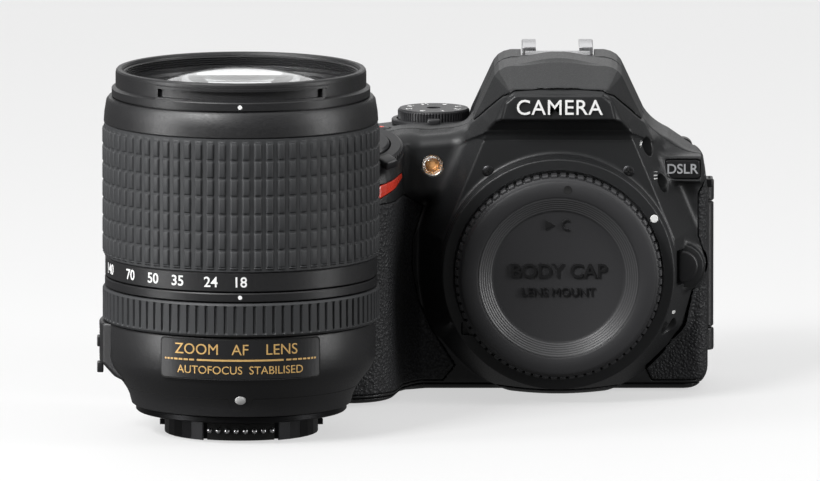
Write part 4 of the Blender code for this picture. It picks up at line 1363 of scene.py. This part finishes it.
def make_lugs():
    for name, side, z, reach in (
        ("strap_lug_left", -1, 59.6, 3.4),
        ("strap_lug_right", 1, 58.8, 1.5),
    ):
        x = 43.0 if side > 0 else -79.0
        outer = rounded(x + side * (reach - 1.6) / 2, -9.5, (reach + 1.6) / 2, 3.5, 0.6)
        plate = prism(name + "_plate", outer, z - 1.2, z + 1.2, "Z", 0.3)
        # Painted shade: the eye is a black patch proud of both faces of the plate, where the strap
        # opening would be dark.
        eye = rounded(x + side * (reach - 0.5) / 2, -9.5, max((reach - 0.9) / 2, 0.3), 2.6, 0.25)
        show(name + "_plate", plate, "dark_metal", "camera", [name])
        show(name + "_painted_eye_shadow", prism(name + "_painted_eye_shadow", eye, z - 1.22, z + 1.22, "Z"), "inner", "camera")


def make_shutter_controls():
    button = [
        (0, 3.45), (4.0, 3.5), (6.6, 3.8), (7.3, 3.75), (7.8, 3.2), (7.9, 2.6), (7.9, -2.2),
        (0, -2.2),
    ]
    show(
        "shutter_key",
        turned("shutter_key", button, SHUTTER, TOP_NORMAL, 96),
        "control",
        "shutter_button",
        ["shutter_button"],
    )

    def skirt(angle, height):
        grip_band = smooth_step(0.3, 0.6, height) * (1 - smooth_step(2.0, 2.3, height))
        groove = 0.35 * (1 - rib(angle, 60, 0.55, 0.15)) * grip_band
        return 11.9 - groove - 0.9 * smooth_step(2.0, 2.8, height)

    ring = relief(
        "power_ring",
        skirt,
        turn_angles(480),
        [0.1, 0.3, 0.6, 2.0, 2.3, 2.6, 2.8],
        8.3,
        SHUTTER,
        TOP_NORMAL,
    )
    show("power_ring", ring, "control", "power_lever", ["power_lever"])
    tab = bar("power_tab", (-2.1, -14.1, 0.6), (2.1, -9.6, 3.3), 0.7, 4)
    upright = Matrix.Translation(Vector(SHUTTER * MM)) @ Matrix.Rotation(SLOPE, 4, "X")
    tab.transform(upright @ Matrix.Rotation(math.radians(38), 4, "Z"))
    show("power_tab", tab, "control", "power_lever")


def make_dials():
    low = 74.5

    def knurl(angle, height):
        grip_band = smooth_step(low + 0.5, low + 0.8, height) * (
            1 - smooth_step(77.9, 78.2, height)
        )
        groove = 0.3 * (1 - rib(angle, 72, 0.55, 0.2)) * grip_band
        return MODE_R - groove - 0.45 * smooth_step(78.1, 78.7, height)

    heights = [low, low + 0.3, low + 0.6, low + 0.9, 77.8, 78.05, 78.3, 78.5, 78.7]
    side = relief("dial_side", knurl, turn_angles(576), heights, 2.0, (*DIAL, 0))
    show("dial_side", side, "control", "mode_dial", ["mode_dial"])
    names = ["M", "A", "S", "P", "1", "2", "3", "4"]
    for i, text in enumerate(names):
        angle = math.radians(45 * i + 20)
        mesh = lettering(f"dial_mark_{i}", text, 2.6, 0.12, 0.04)
        centre = Matrix.Translation(Vector((*DIAL, 78.7)))
        outward = Matrix.Translation(Vector((0, 7.4, 0)))
        spin = centre @ Matrix.Rotation(angle, 4, "Z") @ outward
        mesh.transform(Matrix.Scale(MM, 4) @ spin)
        show(f"dial_mark_{i}", mesh, "white", "mode_dial")
    lever = [(10.7, low), (12.1, low), (12.1, 75.5), (11.8, 75.8), (10.7, 75.8)]
    show(
        "view_ring",
        turned("view_ring", lever, (*DIAL, 0), steps=96),
        "control",
        "live_view_lever",
        ["live_view_lever"],
    )
    x, y = DIAL
    show(
        "view_tab",
        bar("view_tab", (x - 1.9, y - 14.1, 75.3), (x + 1.9, y - 11.1, 77.1), 0.5),
        "control",
        "live_view_lever",
    )

    def thumb_wheel(angle, height):
        edge = 0.7 * (smooth_step(68.6, 69.4, height) + 1 - smooth_step(64.2, 65.0, height))
        return COMMAND_R - 0.5 * (1 - rib(angle, 44, 0.5, 0.25)) - edge

    heights = [64.2, 64.4, 64.7, 65.0, 66.8, 68.6, 68.9, 69.2, 69.4]
    wheel = relief("command_wheel", thumb_wheel, turn_angles(440), heights, 1.0, (*COMMAND, 0))
    show("command_wheel", wheel, "soft_rubber", "command_dial", ["command_dial"])


def make_keys():
    for name, (x, y, radius, top) in DECK_BUTTONS.items():
        profile = [
            (0, top), (radius * 0.7, top - 0.05), (radius - 0.15, top - 0.35), (radius, top - 0.7),
            (radius, 68.5), (0, 68.5),
        ]
        mesh = turned(name + "_key", profile, (x, y, 0), steps=48)
        show(name + "_key", mesh, "control", name, [name])
        if name == "movie_button":
            dot = [
                (0, top + 0.12), (0.75, top + 0.1), (0.85, top), (0.85, top - 0.3), (0, top - 0.3),
            ]
            show("movie_dot", turned("movie_dot", dot, (x, y, 0), steps=32), "red", name)
    for name, (x, z, radius) in REAR_BUTTONS.items():
        if name == "multi_selector":
            continue
        low = 5.0 if name == "menu_button" else 6.9
        profile = [
            (0, 9.9), (radius * 0.75, 9.85), (radius - 0.15, 9.5), (radius, 9.1), (radius, low),
            (0, low),
        ]
        show(
            name + "_key",
            turned(name + "_key", profile, (x, 0, z), (0, 1, 0), 48),
            "control",
            name,
            [name],
        )
    x, z, radius = REAR_BUTTONS["multi_selector"]
    pad = [
        (0, 10.2), (2.6, 10.2), (2.9, 10.0), (3.2, 10.0), (3.6, 10.7), (6.4, 11.0), (7.6, 10.7),
        (8.4, 9.8), (8.4, 6.9), (0, 6.9),
    ]
    show(
        "selector_pad",
        turned("selector_pad", pad, (x, 0, z), (0, 1, 0), 96),
        "control",
        "multi_selector",
        ["multi_selector"],
    )
    for i in range(4):
        angle = math.radians(90 * i)
        tip = [(0.0, 1.0), (-0.8, -0.4), (0.8, -0.4)]
        outline = [
            (
                x + 5.0 * math.cos(angle) + u * math.sin(angle) + v * math.cos(angle),
                z + 5.0 * math.sin(angle) - u * math.cos(angle) + v * math.sin(angle),
            ) for u, v in tip
        ]
        show(
            f"selector_mark_{i}",
            prism(f"selector_mark_{i}", outline, 10.8, 11.0, "Y"),
            "grey",
            "multi_selector",
        )


def make_doors():
    door = bar("battery_lid", (-76.95, -46.15, 0.0), (-59.05, -5.85, 1.8), 0.35)
    show("battery_lid", door, "body", "battery_door", ["battery_door"])
    catch = bar("battery_catch", (-71.0, -44.0, -0.0), (-65.0, -41.0, 0.5), 0.2)
    show("battery_catch", catch, "control", "battery_door")
    card = bar("card_lid", (-79.1, -18.6, 20.0), (-77.7, 5.0, 56.0), 0.5)
    show("card_lid", card, "body", "card_door", ["card_door"])
    for i in range(4):
        z = 34.0 + 2.4 * i
        show(
            f"card_rib_{i}",
            bar(f"card_rib_{i}", (-79.5, -16.5, z), (-79.0, -10.5, z + 1.1), 0.2),
            "body",
            "card_door",
        )
    cover = bar("terminal_lid", (41.6, -19.0, 16.0), (43.1, 3.0, 56.0), 0.5)
    show("terminal_lid", cover, "soft_rubber", "terminal_cover", ["terminal_cover"])


def make_screen():
    barrel = [(0, 14.3), (2.0, 14.3), (2.4, 14.7), (2.4, 50.2), (2.0, 50.6), (0, 50.6)]
    hinge = turned("hinge_barrel", barrel, (42.6, 9.5, 0), steps=48)
    show("hinge_barrel", hinge, "control", "screen", ["screen_hinge"])
    show(
        "hinge_arm",
        bar("hinge_arm", (39.9, 8.0, 14.7), (42.8, 11.2, 50.2), 0.4),
        "control",
        "screen",
    )
    panel = prism("display_back", rounded(-2.0, 34.5, 41.5, 26.5, 2.5), 7.1, 12.8, "Y", 0.9, 4)
    show("display_back", panel, "control", "screen", ["screen_panel"])
    show(
        "display_skin",
        prism("display_skin", rounded(-2.0, 34.5, 37.5, 23.5, 1.5), 12.7, 12.95, "Y", 0.1),
        "rubber",
        "screen",
    )
    show(
        "display_glass",
        prism("display_glass", rounded(-2.0, 35.0, 36.5, 23.0, 1.2), 6.9, 7.2, "Y", 0.05),
        "screen",
        "screen",
    )


def make_flash_parts():
    wedge = [(-38.0, 88.4), (-24.0, 88.4), (-26.0, 83.0), (-31.0, 81.2)]
    show(
        "flash_lens",
        prism("flash_lens", wedge, -13.0, 13.0, "X", 0.5),
        "glass",
        "flash",
        ["flash_window"],
    )
    back = [(-36.5, 87.8), (-25.0, 87.8), (-26.4, 84.0), (-30.6, 82.6)]
    show("flash_reflector", prism("flash_reflector", back, -12.0, 12.0, "X", 0.3), "steel", "flash")


def make_inside():
    paint_nodes("inner", "mirror_box", "shutter_frame", "shutter_curtain")
    paint_nodes("sensor", "image_sensor")
    paint_nodes("mirror", "pentamirror", "reflex_mirror")
    paint_nodes("circuit", "main_board")
    paint_nodes("battery", "battery")
    paint_nodes("steel", "tripod_socket")


# ---------------------------------------------------------------- the lens


def lens_turned(name, profile, steps=192, smooth=32):
    return turned(name, profile, (LENS_X, LENS_Y, 0), (0, 0, 1), steps, smooth)


def lens_relief(name, radius_at, angles, heights, inner):
    return relief(name, radius_at, angles, heights, inner, (LENS_X, LENS_Y, 0))


def stepped(low, high, soft):
    """Heights across a flat, packed at its ends."""
    return [low, low + soft * 0.5, low + soft, high - soft, high - soft * 0.5, high]


def make_zoom_ring():
    low, high, rows = 50.6, 88.0, 7
    rim = 0.9
    pitch = (high - low - 2 * rim) / rows
    heights = [low - 0.3, low, low + rim * 0.6, low + rim]
    for row in range(rows):
        start = low + rim + row * pitch
        heights += [h for h in stepped(start + 0.25, start + pitch - 0.25, 0.5)]
    heights += [high - rim, high - rim * 0.6, high, high + 0.3]

    def pads(angle, height):
        column = rib(angle, 72, 0.53, 0.10)
        if height < low or height > high:
            return 38.2
        from_end = min(height - low - rim, high - rim - height)
        if from_end < 0:
            return 38.62 + 0.5 * column * smooth_step(-0.1, 0.0, from_end)
        within = (height - low - rim) % pitch
        edge = min(within, pitch - within)
        return 38.62 + column * (0.2 + 0.36 * smooth_step(0.25, 0.6, edge)) * 0.98

    mesh = lens_relief("zoom_rubber", pads, turn_angles(72 * 12), heights, 36.5)
    show("zoom_rubber", mesh, "lens_rubber", "lens_zoom_ring", ["lens_zoom_ring"])
    strip = [(36.3, 44.8), (38.1, 44.8), (38.4, 45.1), (38.4, 50.0), (38.1, 50.3), (36.3, 50.3)]
    show("zoom_scale", lens_turned("zoom_scale", strip), "lens", "lens_zoom_ring")
    front = [
        (36.3, 88.3), (38.5, 88.3), (38.75, 88.6), (38.6, 91.0), (38.0, 94.6), (37.4, 95.4),
        (36.3, 95.5),
    ]
    show("zoom_front", lens_turned("zoom_front", front), "lens", "lens_zoom_ring")
    for text, angle in (
        ("18", 0.0),
        ("24", -12.4),
        ("35", -27.3),
        ("50", -39.8),
        ("70", -53.8),
        ("140", -73.5),
    ):
        mesh = wrapped(lettering("scale_" + text, text, 4.1, 0.12, 0.05), 38.42, angle, 47.5)
        show("scale_" + text, mesh, "white", "lens_zoom_ring")


def make_focus_ring():
    low, high = 32.2, 41.6
    heights = [
        low, low + 0.25, low + 0.6, low + 1.0, low + 1.4, high - 1.4, high - 1.0, high - 0.6,
        high - 0.25, high,
    ]

    def ribs(angle, height):
        ends = smooth_step(low + 0.5, low + 1.2, height) * (
            1 - smooth_step(high - 1.2, high - 0.5, height)
        )
        lip = 0.4 * (
            1 - smooth_step(low, low + 0.5, height)
        ) + 0.4 * smooth_step(high - 0.5, high, height)
        return 39.15 - 0.6 * (1 - rib(angle, 90, 0.72, 0.10)) * ends - lip

    mesh = lens_relief("focus_rubber", ribs, turn_angles(90 * 10), heights, 33.9)
    show("focus_rubber", mesh, "lens_rubber", "lens_focus_ring", ["lens_focus_ring"])


FOOT_PROFILE = [
    (31.2, 9.2),
    (31.6, 10.8),
    (32.3, 12.4),
    (33.3, 14.0),
    (34.7, 15.9),
    (36.2, 17.8),
    (37.4, 19.8),
    (38.0, 22.0),
]


def foot_radius(height):
    radii, heights = zip(*FOOT_PROFILE)
    return float(np.interp(height, heights, radii))


def seam_height(turn):
    """The joint between the barrel's two parts dips round the white mounting dot."""
    return 13.7 - 3.3 * (1 - smooth_step(4.4, 6.4, abs(turn)))


def make_seam():
    """A thin dark line round the barrel, just proud of it."""
    bm = bmesh.new()
    columns = []
    turns = np.concatenate(
        [np.arange(-180, -8, 2.0), np.arange(-8, 8, 0.25), np.arange(8, 180, 2.0)]
    )
    for turn in turns:
        middle = seam_height(turn)
        angle = math.radians(turn - 90)
        column = []
        for height, out in ((-0.13, 0.03), (0.13, 0.03), (0.13, -0.2), (-0.13, -0.2)):
            r = foot_radius(middle + height) + out
            column.append(bm.verts.new((r * math.cos(angle), r * math.sin(angle), middle + height)))
        columns.append(column)
    for here, after in zip(columns, columns[1:] + columns[:1]):
        for j in range(4):
            k = (j + 1) % 4
            bm.faces.new((here[j], after[j], after[k], here[k]))
    bm.transform(Matrix.Translation(Vector((LENS_X, LENS_Y, 0))))
    return mesh_of("barrel_seam", bm)


def make_rear_barrel():
    outside = [
        (30.6, 8.2),
        (31.0, 8.45),
        *FOOT_PROFILE,
        (38.0, 31.2),
        (37.7, 31.7),
        (37.2, 31.9),
    ]
    sleeve = [(33.4, 31.9), (33.4, 94.0), (30.4, 94.0), (30.4, 40.0)]
    baffle = [(19.0, 36.0), (19.0, 10.6), (14.4, 10.6), (14.4, 8.2)]
    body = lens_turned("barrel_shell", outside + sleeve + baffle, 192)
    show("barrel_shell", body, "lens", "lens", ["lens_rear_barrel"])
    show("barrel_seam", make_seam(), "inner", "lens")
    index = [(33.8, 42.0), (38.3, 42.0), (38.5, 42.2), (38.5, 44.2), (38.3, 44.5), (33.8, 44.5)]
    show(
        "index_band",
        lens_turned("index_band", index),
        "lens_dark",
        "lens",
        ["lens_index_ring"],
    )
    show("index_dot", wrapped(disc_mesh("index_dot", 0.62, 0.16), 38.5, 0.0, 43.3), "white", "lens")
    bead = [(0, 0.22), (1.2, 0.2), (1.5, 0.08), (1.6, -0.5), (0, -0.5)]
    dot_at = (LENS_X, LENS_Y - foot_radius(13.3), 13.3)
    show("mount_dot", turned("mount_dot", bead, dot_at, (0, -0.84, -0.54), 48), "white", "lens")


def disc_mesh(name, radius, thickness, steps=40):
    """A thin disc in the XY plane, in millimetres."""
    bm = bmesh.new()
    bmesh.ops.create_cone(
        bm, cap_ends=True, segments=steps, radius1=radius, radius2=radius * 0.92, depth=thickness
    )
    mesh = bpy.data.meshes.new(name)
    bm.to_mesh(mesh)
    bm.free()
    return mesh


def flat_plate(name, half_width, half_height, radius, thickness):
    """A plate in the XY plane, cut into upright strips so that it can be wrapped."""
    bm = bmesh.new()
    outline = rounded(0, 0, half_width, half_height, radius)
    bm.faces.new([bm.verts.new((x, y, 0)) for x, y in outline])
    for i in range(1, 40):
        x = -half_width + 2 * half_width * i / 40
        geometry = bm.verts[:] + bm.edges[:] + bm.faces[:]
        bmesh.ops.bisect_plane(bm, geom=geometry, plane_co=(x, 0, 0), plane_no=(1, 0, 0))
    made = bmesh.ops.extrude_face_region(bm, geom=bm.faces[:])
    lifted = [v for v in made["geom"] if isinstance(v, bmesh.types.BMVert)]
    bmesh.ops.translate(bm, vec=(0, 0, thickness), verts=lifted)
    bmesh.ops.recalc_face_normals(bm, faces=bm.faces)
    mesh = bpy.data.meshes.new(name)
    bm.to_mesh(mesh)
    bm.free()
    return mesh


def make_label():
    border = flat_plate("label_border", 23.9, 5.8, 1.3, 0.12)
    show("label_border", wrapped(border, 37.95, 0.0, 25.6), "inner", "lens")
    plate = flat_plate("label_plate", 23.5, 5.4, 1.1, 0.22)
    show("label_plate", wrapped(plate, 37.95, 0.0, 25.6), "smooth", "lens")
    words = [
        ("label_word_0", "ZOOM", 4.3, -12.6, 28.3),
        ("label_word_1", "AF", 4.3, 0.0, 28.3),
        ("label_word_2", "LENS", 4.3, 11.9, 28.3),
        ("label_word_3", "AUTOFOCUS  STABILISED", 3.2, 0.0, 22.5),
    ]
    for name, text, size, x, z in words:
        mesh = lettering(name, text, size, 0.1)
        mesh.transform(Matrix.Translation(Vector((x, 0, 0))))
        show(name, wrapped(mesh, 38.2, 0.0, z), "gold", "lens")
    line = flat_plate("label_line", 12.4, 0.26, 0.05, 0.1)
    show("label_line", wrapped(line, 38.14, 0.0, 25.4), "gold", "lens")
    for side in (-1, 1):
        at = 13.2
        for i in range(7):
            width = 1.5 - 0.17 * i
            dash = flat_plate(f"dash_{side + 1}_{i}", width / 2, 0.24, 0.05, 0.1)
            dash.transform(Matrix.Translation(Vector((side * (at + width / 2), 0, 0))))
            show(f"label_dash_{side + 1}_{i}", wrapped(dash, 38.14, 0.0, 25.4), "gold", "lens")
            at += width + 0.38


def make_switch_panel():
    def panel(p):
        x, y, z = p
        away = np.hypot(x - LENS_X, y - LENS_Y)
        side = [
            (20.0, 14.4), (33.6, 15.0), (36.6, 16.6), (40.1, 20.6), (40.1, 31.4), (39.6, 31.9),
            (20.0, 31.9),
        ]
        limit = polygon(away, z, side)
        wide = np.abs(y - LENS_Y) - 7.8 - 0.5 * np.maximum(40.1 - np.abs(x - LENS_X), 0)
        form = blend_cross(blend_cross(limit, wide, 0.8), x - LENS_X + 33.0, 0.1)
        for z0 in (18.6, 26.0):
            form = without(
                form,
                block(
                    p,
                    (LENS_X - 42.0, LENS_Y - 4.5, z0 - 1.8),
                    (LENS_X - 38.6, LENS_Y + 4.5, z0 + 1.8),
                    0.4,
                ),
            )
        return form

    low = (LENS_X - 40.4, LENS_Y - 12.0, 12.0)
    high = (LENS_X - 32.5, LENS_Y + 12.0, 32.0)
    show(
        "switch_housing",
        sculpt("switch_housing", panel, low, high, FINE),
        "lens",
        "lens",
    )
    for name, z in (("lens_stabiliser_switch", 18.6), ("lens_focus_switch", 26.0)):
        knob = bar(
            name + "_knob",
            (LENS_X - 40.7, LENS_Y - 4.2, z - 1.5),
            (LENS_X - 38.9, LENS_Y - 0.6, z + 1.5),
            0.35,
        )
        show(name + "_knob", knob, "control", name, [name])
        for i, y in enumerate((-2.4, 2.4)):
            dash = bar(
                f"{name}_mark_{i}",
                (LENS_X - 40.18, LENS_Y + y - 0.25, z + 2.4),
                (LENS_X - 39.9, LENS_Y + y + 0.25, z + 3.6),
                0.05,
            )
            show(f"{name}_mark_{i}", dash, "white", "lens")


def make_bayonet():
    paint_nodes("black_metal", "lens_bayonet")
    paint_nodes("steel", "lens_aperture_lever")
    paint_nodes("inner", "lens_contact_block")
    flange = [(21.9, 6.3), (29.5, 6.3), (29.8, 6.6), (29.8, 7.9), (21.9, 7.9)]
    show("flange_trim", lens_turned("flange_trim", flange), "black_metal", "lens")
    for i in range(8):
        angle = math.radians(-90 + (i - 3.5) * 2.63 / 21.9 * 180 / math.pi)
        out = (math.cos(angle), math.sin(angle), 0)
        at = (LENS_X + 21.6 * out[0], LENS_Y + 21.6 * out[1], 2.9)
        pin = [(0, 0.75), (0.45, 0.62), (0.75, 0.3), (0.85, 0.0), (0.85, -0.6), (0, -0.6)]
        show(f"contact_pin_{i}", turned(f"contact_pin_{i}", pin, at, out, 24), "steel", "lens")
    glass = [(0, 8.0), (9.0, 8.4), (13.9, 9.4), (13.9, 12.0), (0, 13.4)]
    show(
        "rear_glass",
        lens_turned("rear_glass", glass, 96),
        "glass",
        "lens",
        ["lens_rear_element"],
    )


def make_front_barrel():
    tube_profile = [(33.9, 46.0), (35.8, 46.0), (35.8, 95.9), (33.9, 95.9)]
    show(
        "front_tube",
        lens_turned("front_tube", tube_profile),
        "lens_dark",
        "lens_front",
        ["lens_front_barrel"],
    )

    def head(angle, height):
        """The lip above the gap, then the frame of the hood's slot standing out of the rim."""
        turn = (math.degrees(angle) - 270 + 180) % 360 - 180
        lip = 36.5 - 1.1 * smooth_step(98.0, 98.5, height)
        top_rail = -41.0 < turn < 43.5 and 98.4 < height < 101.95
        lower_rail = abs(turn) < 41.0 and 98.0 < height < 101.2
        slot = abs(turn) < 39.6 and 98.75 < height < 101.15
        if slot:
            return 35.1
        return max(lip, 36.3) if lower_rail or (top_rail and height > 100.9) else lip

    edges = [270 + t + d for t in (-41.0, -39.6, 39.6, 41.0, 43.5) for d in (-0.06, 0.06)]
    angles = sorted(turn_angles(360) + [math.radians(e) for e in edges])
    heights = [
        95.9, 96.1, 97.9, 98.2, 98.5, 98.7, 98.8, 99.6, 100.8, 101.1, 101.2, 101.9, 102.0, 102.3,
    ]
    band = lens_relief("hood_band", head, angles, heights, 34.4)
    show("hood_band", band, "lens", "lens_front")
    turns = [102.4 - 0.6 * i for i in range(5)]
    threads = [point for z in turns for point in ((33.25, z), (32.85, z - 0.3))]
    rim = [
        (34.6, 98.9), (34.6, 102.2), (35.3, 102.3), (35.25, 102.9), (34.95, 103.3), (34.3, 103.5),
        (33.7, 103.3), (33.3, 102.7),
    ]
    inside = threads + [
        (32.9, 98.9), (31.9, 98.6), (31.7, 97.6), (29.5, 96.9), (29.3, 94.8), (34.4, 94.8),
    ]
    show(
        "filter_rim",
        lens_turned("filter_rim", rim + inside, 256, 20),
        "lens",
        "lens_front",
    )
    baffle = [
        (31.85, 98.58), (31.6, 97.66), (29.55, 96.96), (29.5, 97.05), (31.5, 97.8), (31.7, 98.62),
    ]
    show("name_ring", lens_turned("name_ring", baffle), "lens_dark", "lens_front")
    dot = disc_mesh("hood_dot", 0.65, 0.14)
    show("hood_dot", wrapped(dot, 36.52, 0.0, 96.9), "white", "lens_front")
    dome = [(28.9 * i / 24, 103.1 - 6.0 * (i / 24) ** 2) for i in range(25)]
    back = [(28.9, 92.4), (20.0, 91.4), (0, 91.0)]
    glass = lens_turned("front_glass", dome + back, 192)
    piece = show("front_glass", glass, "front_glass", "lens_front", ["lens_front_element"])
    piece.visible_shadow = False
    well = [
        (29.2, 94.7), (27.0, 88.0), (20.0, 84.0), (0, 84.0), (0, 83.6), (20.5, 83.6), (27.6, 87.6),
        (29.3, 90.0),
    ]
    show("glass_well", lens_turned("glass_well", well, 96), "inner", "lens_front")


# ---------------------------------------------------------------- the stage


def area_light(name, at, aim, size, power, colour=(1, 1, 1)):
    data = bpy.data.lights.new(name, "AREA")
    data.shape = "RECTANGLE"
    data.size, data.size_y = size
    data.energy = power
    data.color = colour
    light = bpy.data.objects.new(name, data)
    light.location = at
    light.rotation_mode = "QUATERNION"
    light.rotation_quaternion = (Vector(aim) - Vector(at)).to_track_quat("-Z", "Y")
    light.visible_camera = False
    bpy.context.scene.collection.objects.link(light)
    return light


def make_world():
    """A dim even fill for the subject, behind which the camera sees plain pale paper."""
    world = bpy.data.worlds.new("studio")
    bpy.context.scene.world = world
    world.use_nodes = True
    tree = world.node_tree
    fill = tree.nodes["Background"]
    fill.inputs["Color"].default_value = (1.0, 1.0, 1.0, 1.0)
    fill.inputs["Strength"].default_value = 0.14
    paper = add_node(tree, "ShaderNodeBackground", Color=(1.0, 1.0, 1.0, 1.0), Strength=0.92)
    rays = add_node(tree, "ShaderNodeLightPath")
    mix = add_node(tree, "ShaderNodeMixShader")
    tree.links.new(rays.outputs["Is Camera Ray"], mix.inputs[0])
    tree.links.new(fill.outputs[0], mix.inputs[1])
    tree.links.new(paper.outputs[0], mix.inputs[2])
    tree.links.new(mix.outputs[0], tree.nodes["World Output"].inputs["Surface"])


def make_stage():
    """Plain soft studio light: a wide panel overhead, one behind, and a strip at each side."""
    bpy.context.scene.view_settings.view_transform = "Standard"
    make_world()
    centre = (-0.03, -0.04, 0.05)
    area_light("overhead", (0.0, 0.1, 2.0), (0.0, 0.1, 0.0), (3.2, 3.2), 24.0)
    area_light("behind", (-0.05, 1.5, 0.85), centre, (2.0, 1.2), 7.0)
    area_light("strip_left", (-0.9, -0.42, 0.35), centre, (0.25, 0.9), 9.0)
    area_light("strip_right", (0.9, -0.36, 0.35), centre, (0.25, 0.9), 7.0)
    area_light("key", (-0.75, -0.95, 1.0), centre, (0.45, 0.35), 22.0)


def make_floor():
    """A round pale floor that rises into a wall, out beyond the camera on every side."""
    flat, wall, height = 36.0, 40.0, 18.0
    rise = wall - flat
    bend = [math.radians(9 * i) for i in range(1, 11)]
    line = [(0.0, 0.0), (0.5, 0.0), (2.0, 0.0), (flat, 0.0)]
    line += [(flat + rise * math.sin(a), rise - rise * math.cos(a)) for a in bend]
    line += [(wall, height)]
    bm = bmesh.new()
    steps = 96
    rings = []
    for i in range(steps):
        c, s = math.cos(2 * math.pi * i / steps), math.sin(2 * math.pi * i / steps)
        rings.append([bm.verts.new((r * c, r * s, z - 0.0002)) for r, z in line])
    for here, after in zip(rings, rings[1:] + rings[:1]):
        for j in range(len(line) - 1):
            bm.faces.new((here[j], after[j], after[j + 1], here[j + 1]))
    bmesh.ops.remove_doubles(bm, verts=bm.verts, dist=1e-6)
    mesh = bpy.data.meshes.new("studio_floor")
    bm.to_mesh(mesh)
    bm.free()
    mesh.shade_smooth()
    floor = bpy.data.objects.new("studio_floor", mesh)
    floor.visible_diffuse = False
    floor.visible_glossy = False
    bpy.context.scene.collection.objects.link(floor)
    made, tree, shader = shader_of("floor_look", (0.24, 0.24, 0.24), 0.7, specular=0.1)
    tint(tree, shader, noise(tree, 3.0, 1.0), (0.236, 0.236, 0.236), (0.244, 0.244, 0.244))
    shader.inputs["Emission Color"].default_value = (1.0, 1.0, 1.0, 1.0)
    shader.inputs["Emission Strength"].default_value = 0.58
    mesh.materials.append(made)


def make_camera():
    elevation = math.radians(8.0)
    distance = 6.0
    data = bpy.data.cameras.new("camera")
    data.sensor_width = 36.0
    target = Vector((-0.0423, -0.03, 0.0446))
    camera = bpy.data.objects.new("camera", data)
    back = Vector((0, -math.cos(elevation), math.sin(elevation)))
    camera.location = target + back * distance
    camera.rotation_mode = "QUATERNION"
    camera.rotation_quaternion = (-back).to_track_quat("-Z", "Y")
    shown_width = 0.2343
    data.lens = 36.0 * distance / shown_width
    bpy.context.scene.collection.objects.link(camera)
    bpy.context.scene.camera = camera


def build():
    make_materials()
    make_covers()
    make_cap()
    make_mount()
    make_names()
    make_lamp()
    make_release()
    make_side_buttons()
    make_marks()
    make_hot_shoe()
    make_eyecup()
    make_lugs()
    make_shutter_controls()
    make_dials()
    make_keys()
    make_doors()
    make_screen()
    make_flash_parts()
    make_inside()
    make_zoom_ring()
    make_focus_ring()
    make_rear_barrel()
    make_label()
    make_switch_panel()
    make_bayonet()
    make_front_barrel()
    make_stage()
    make_floor()
    make_camera()


build()
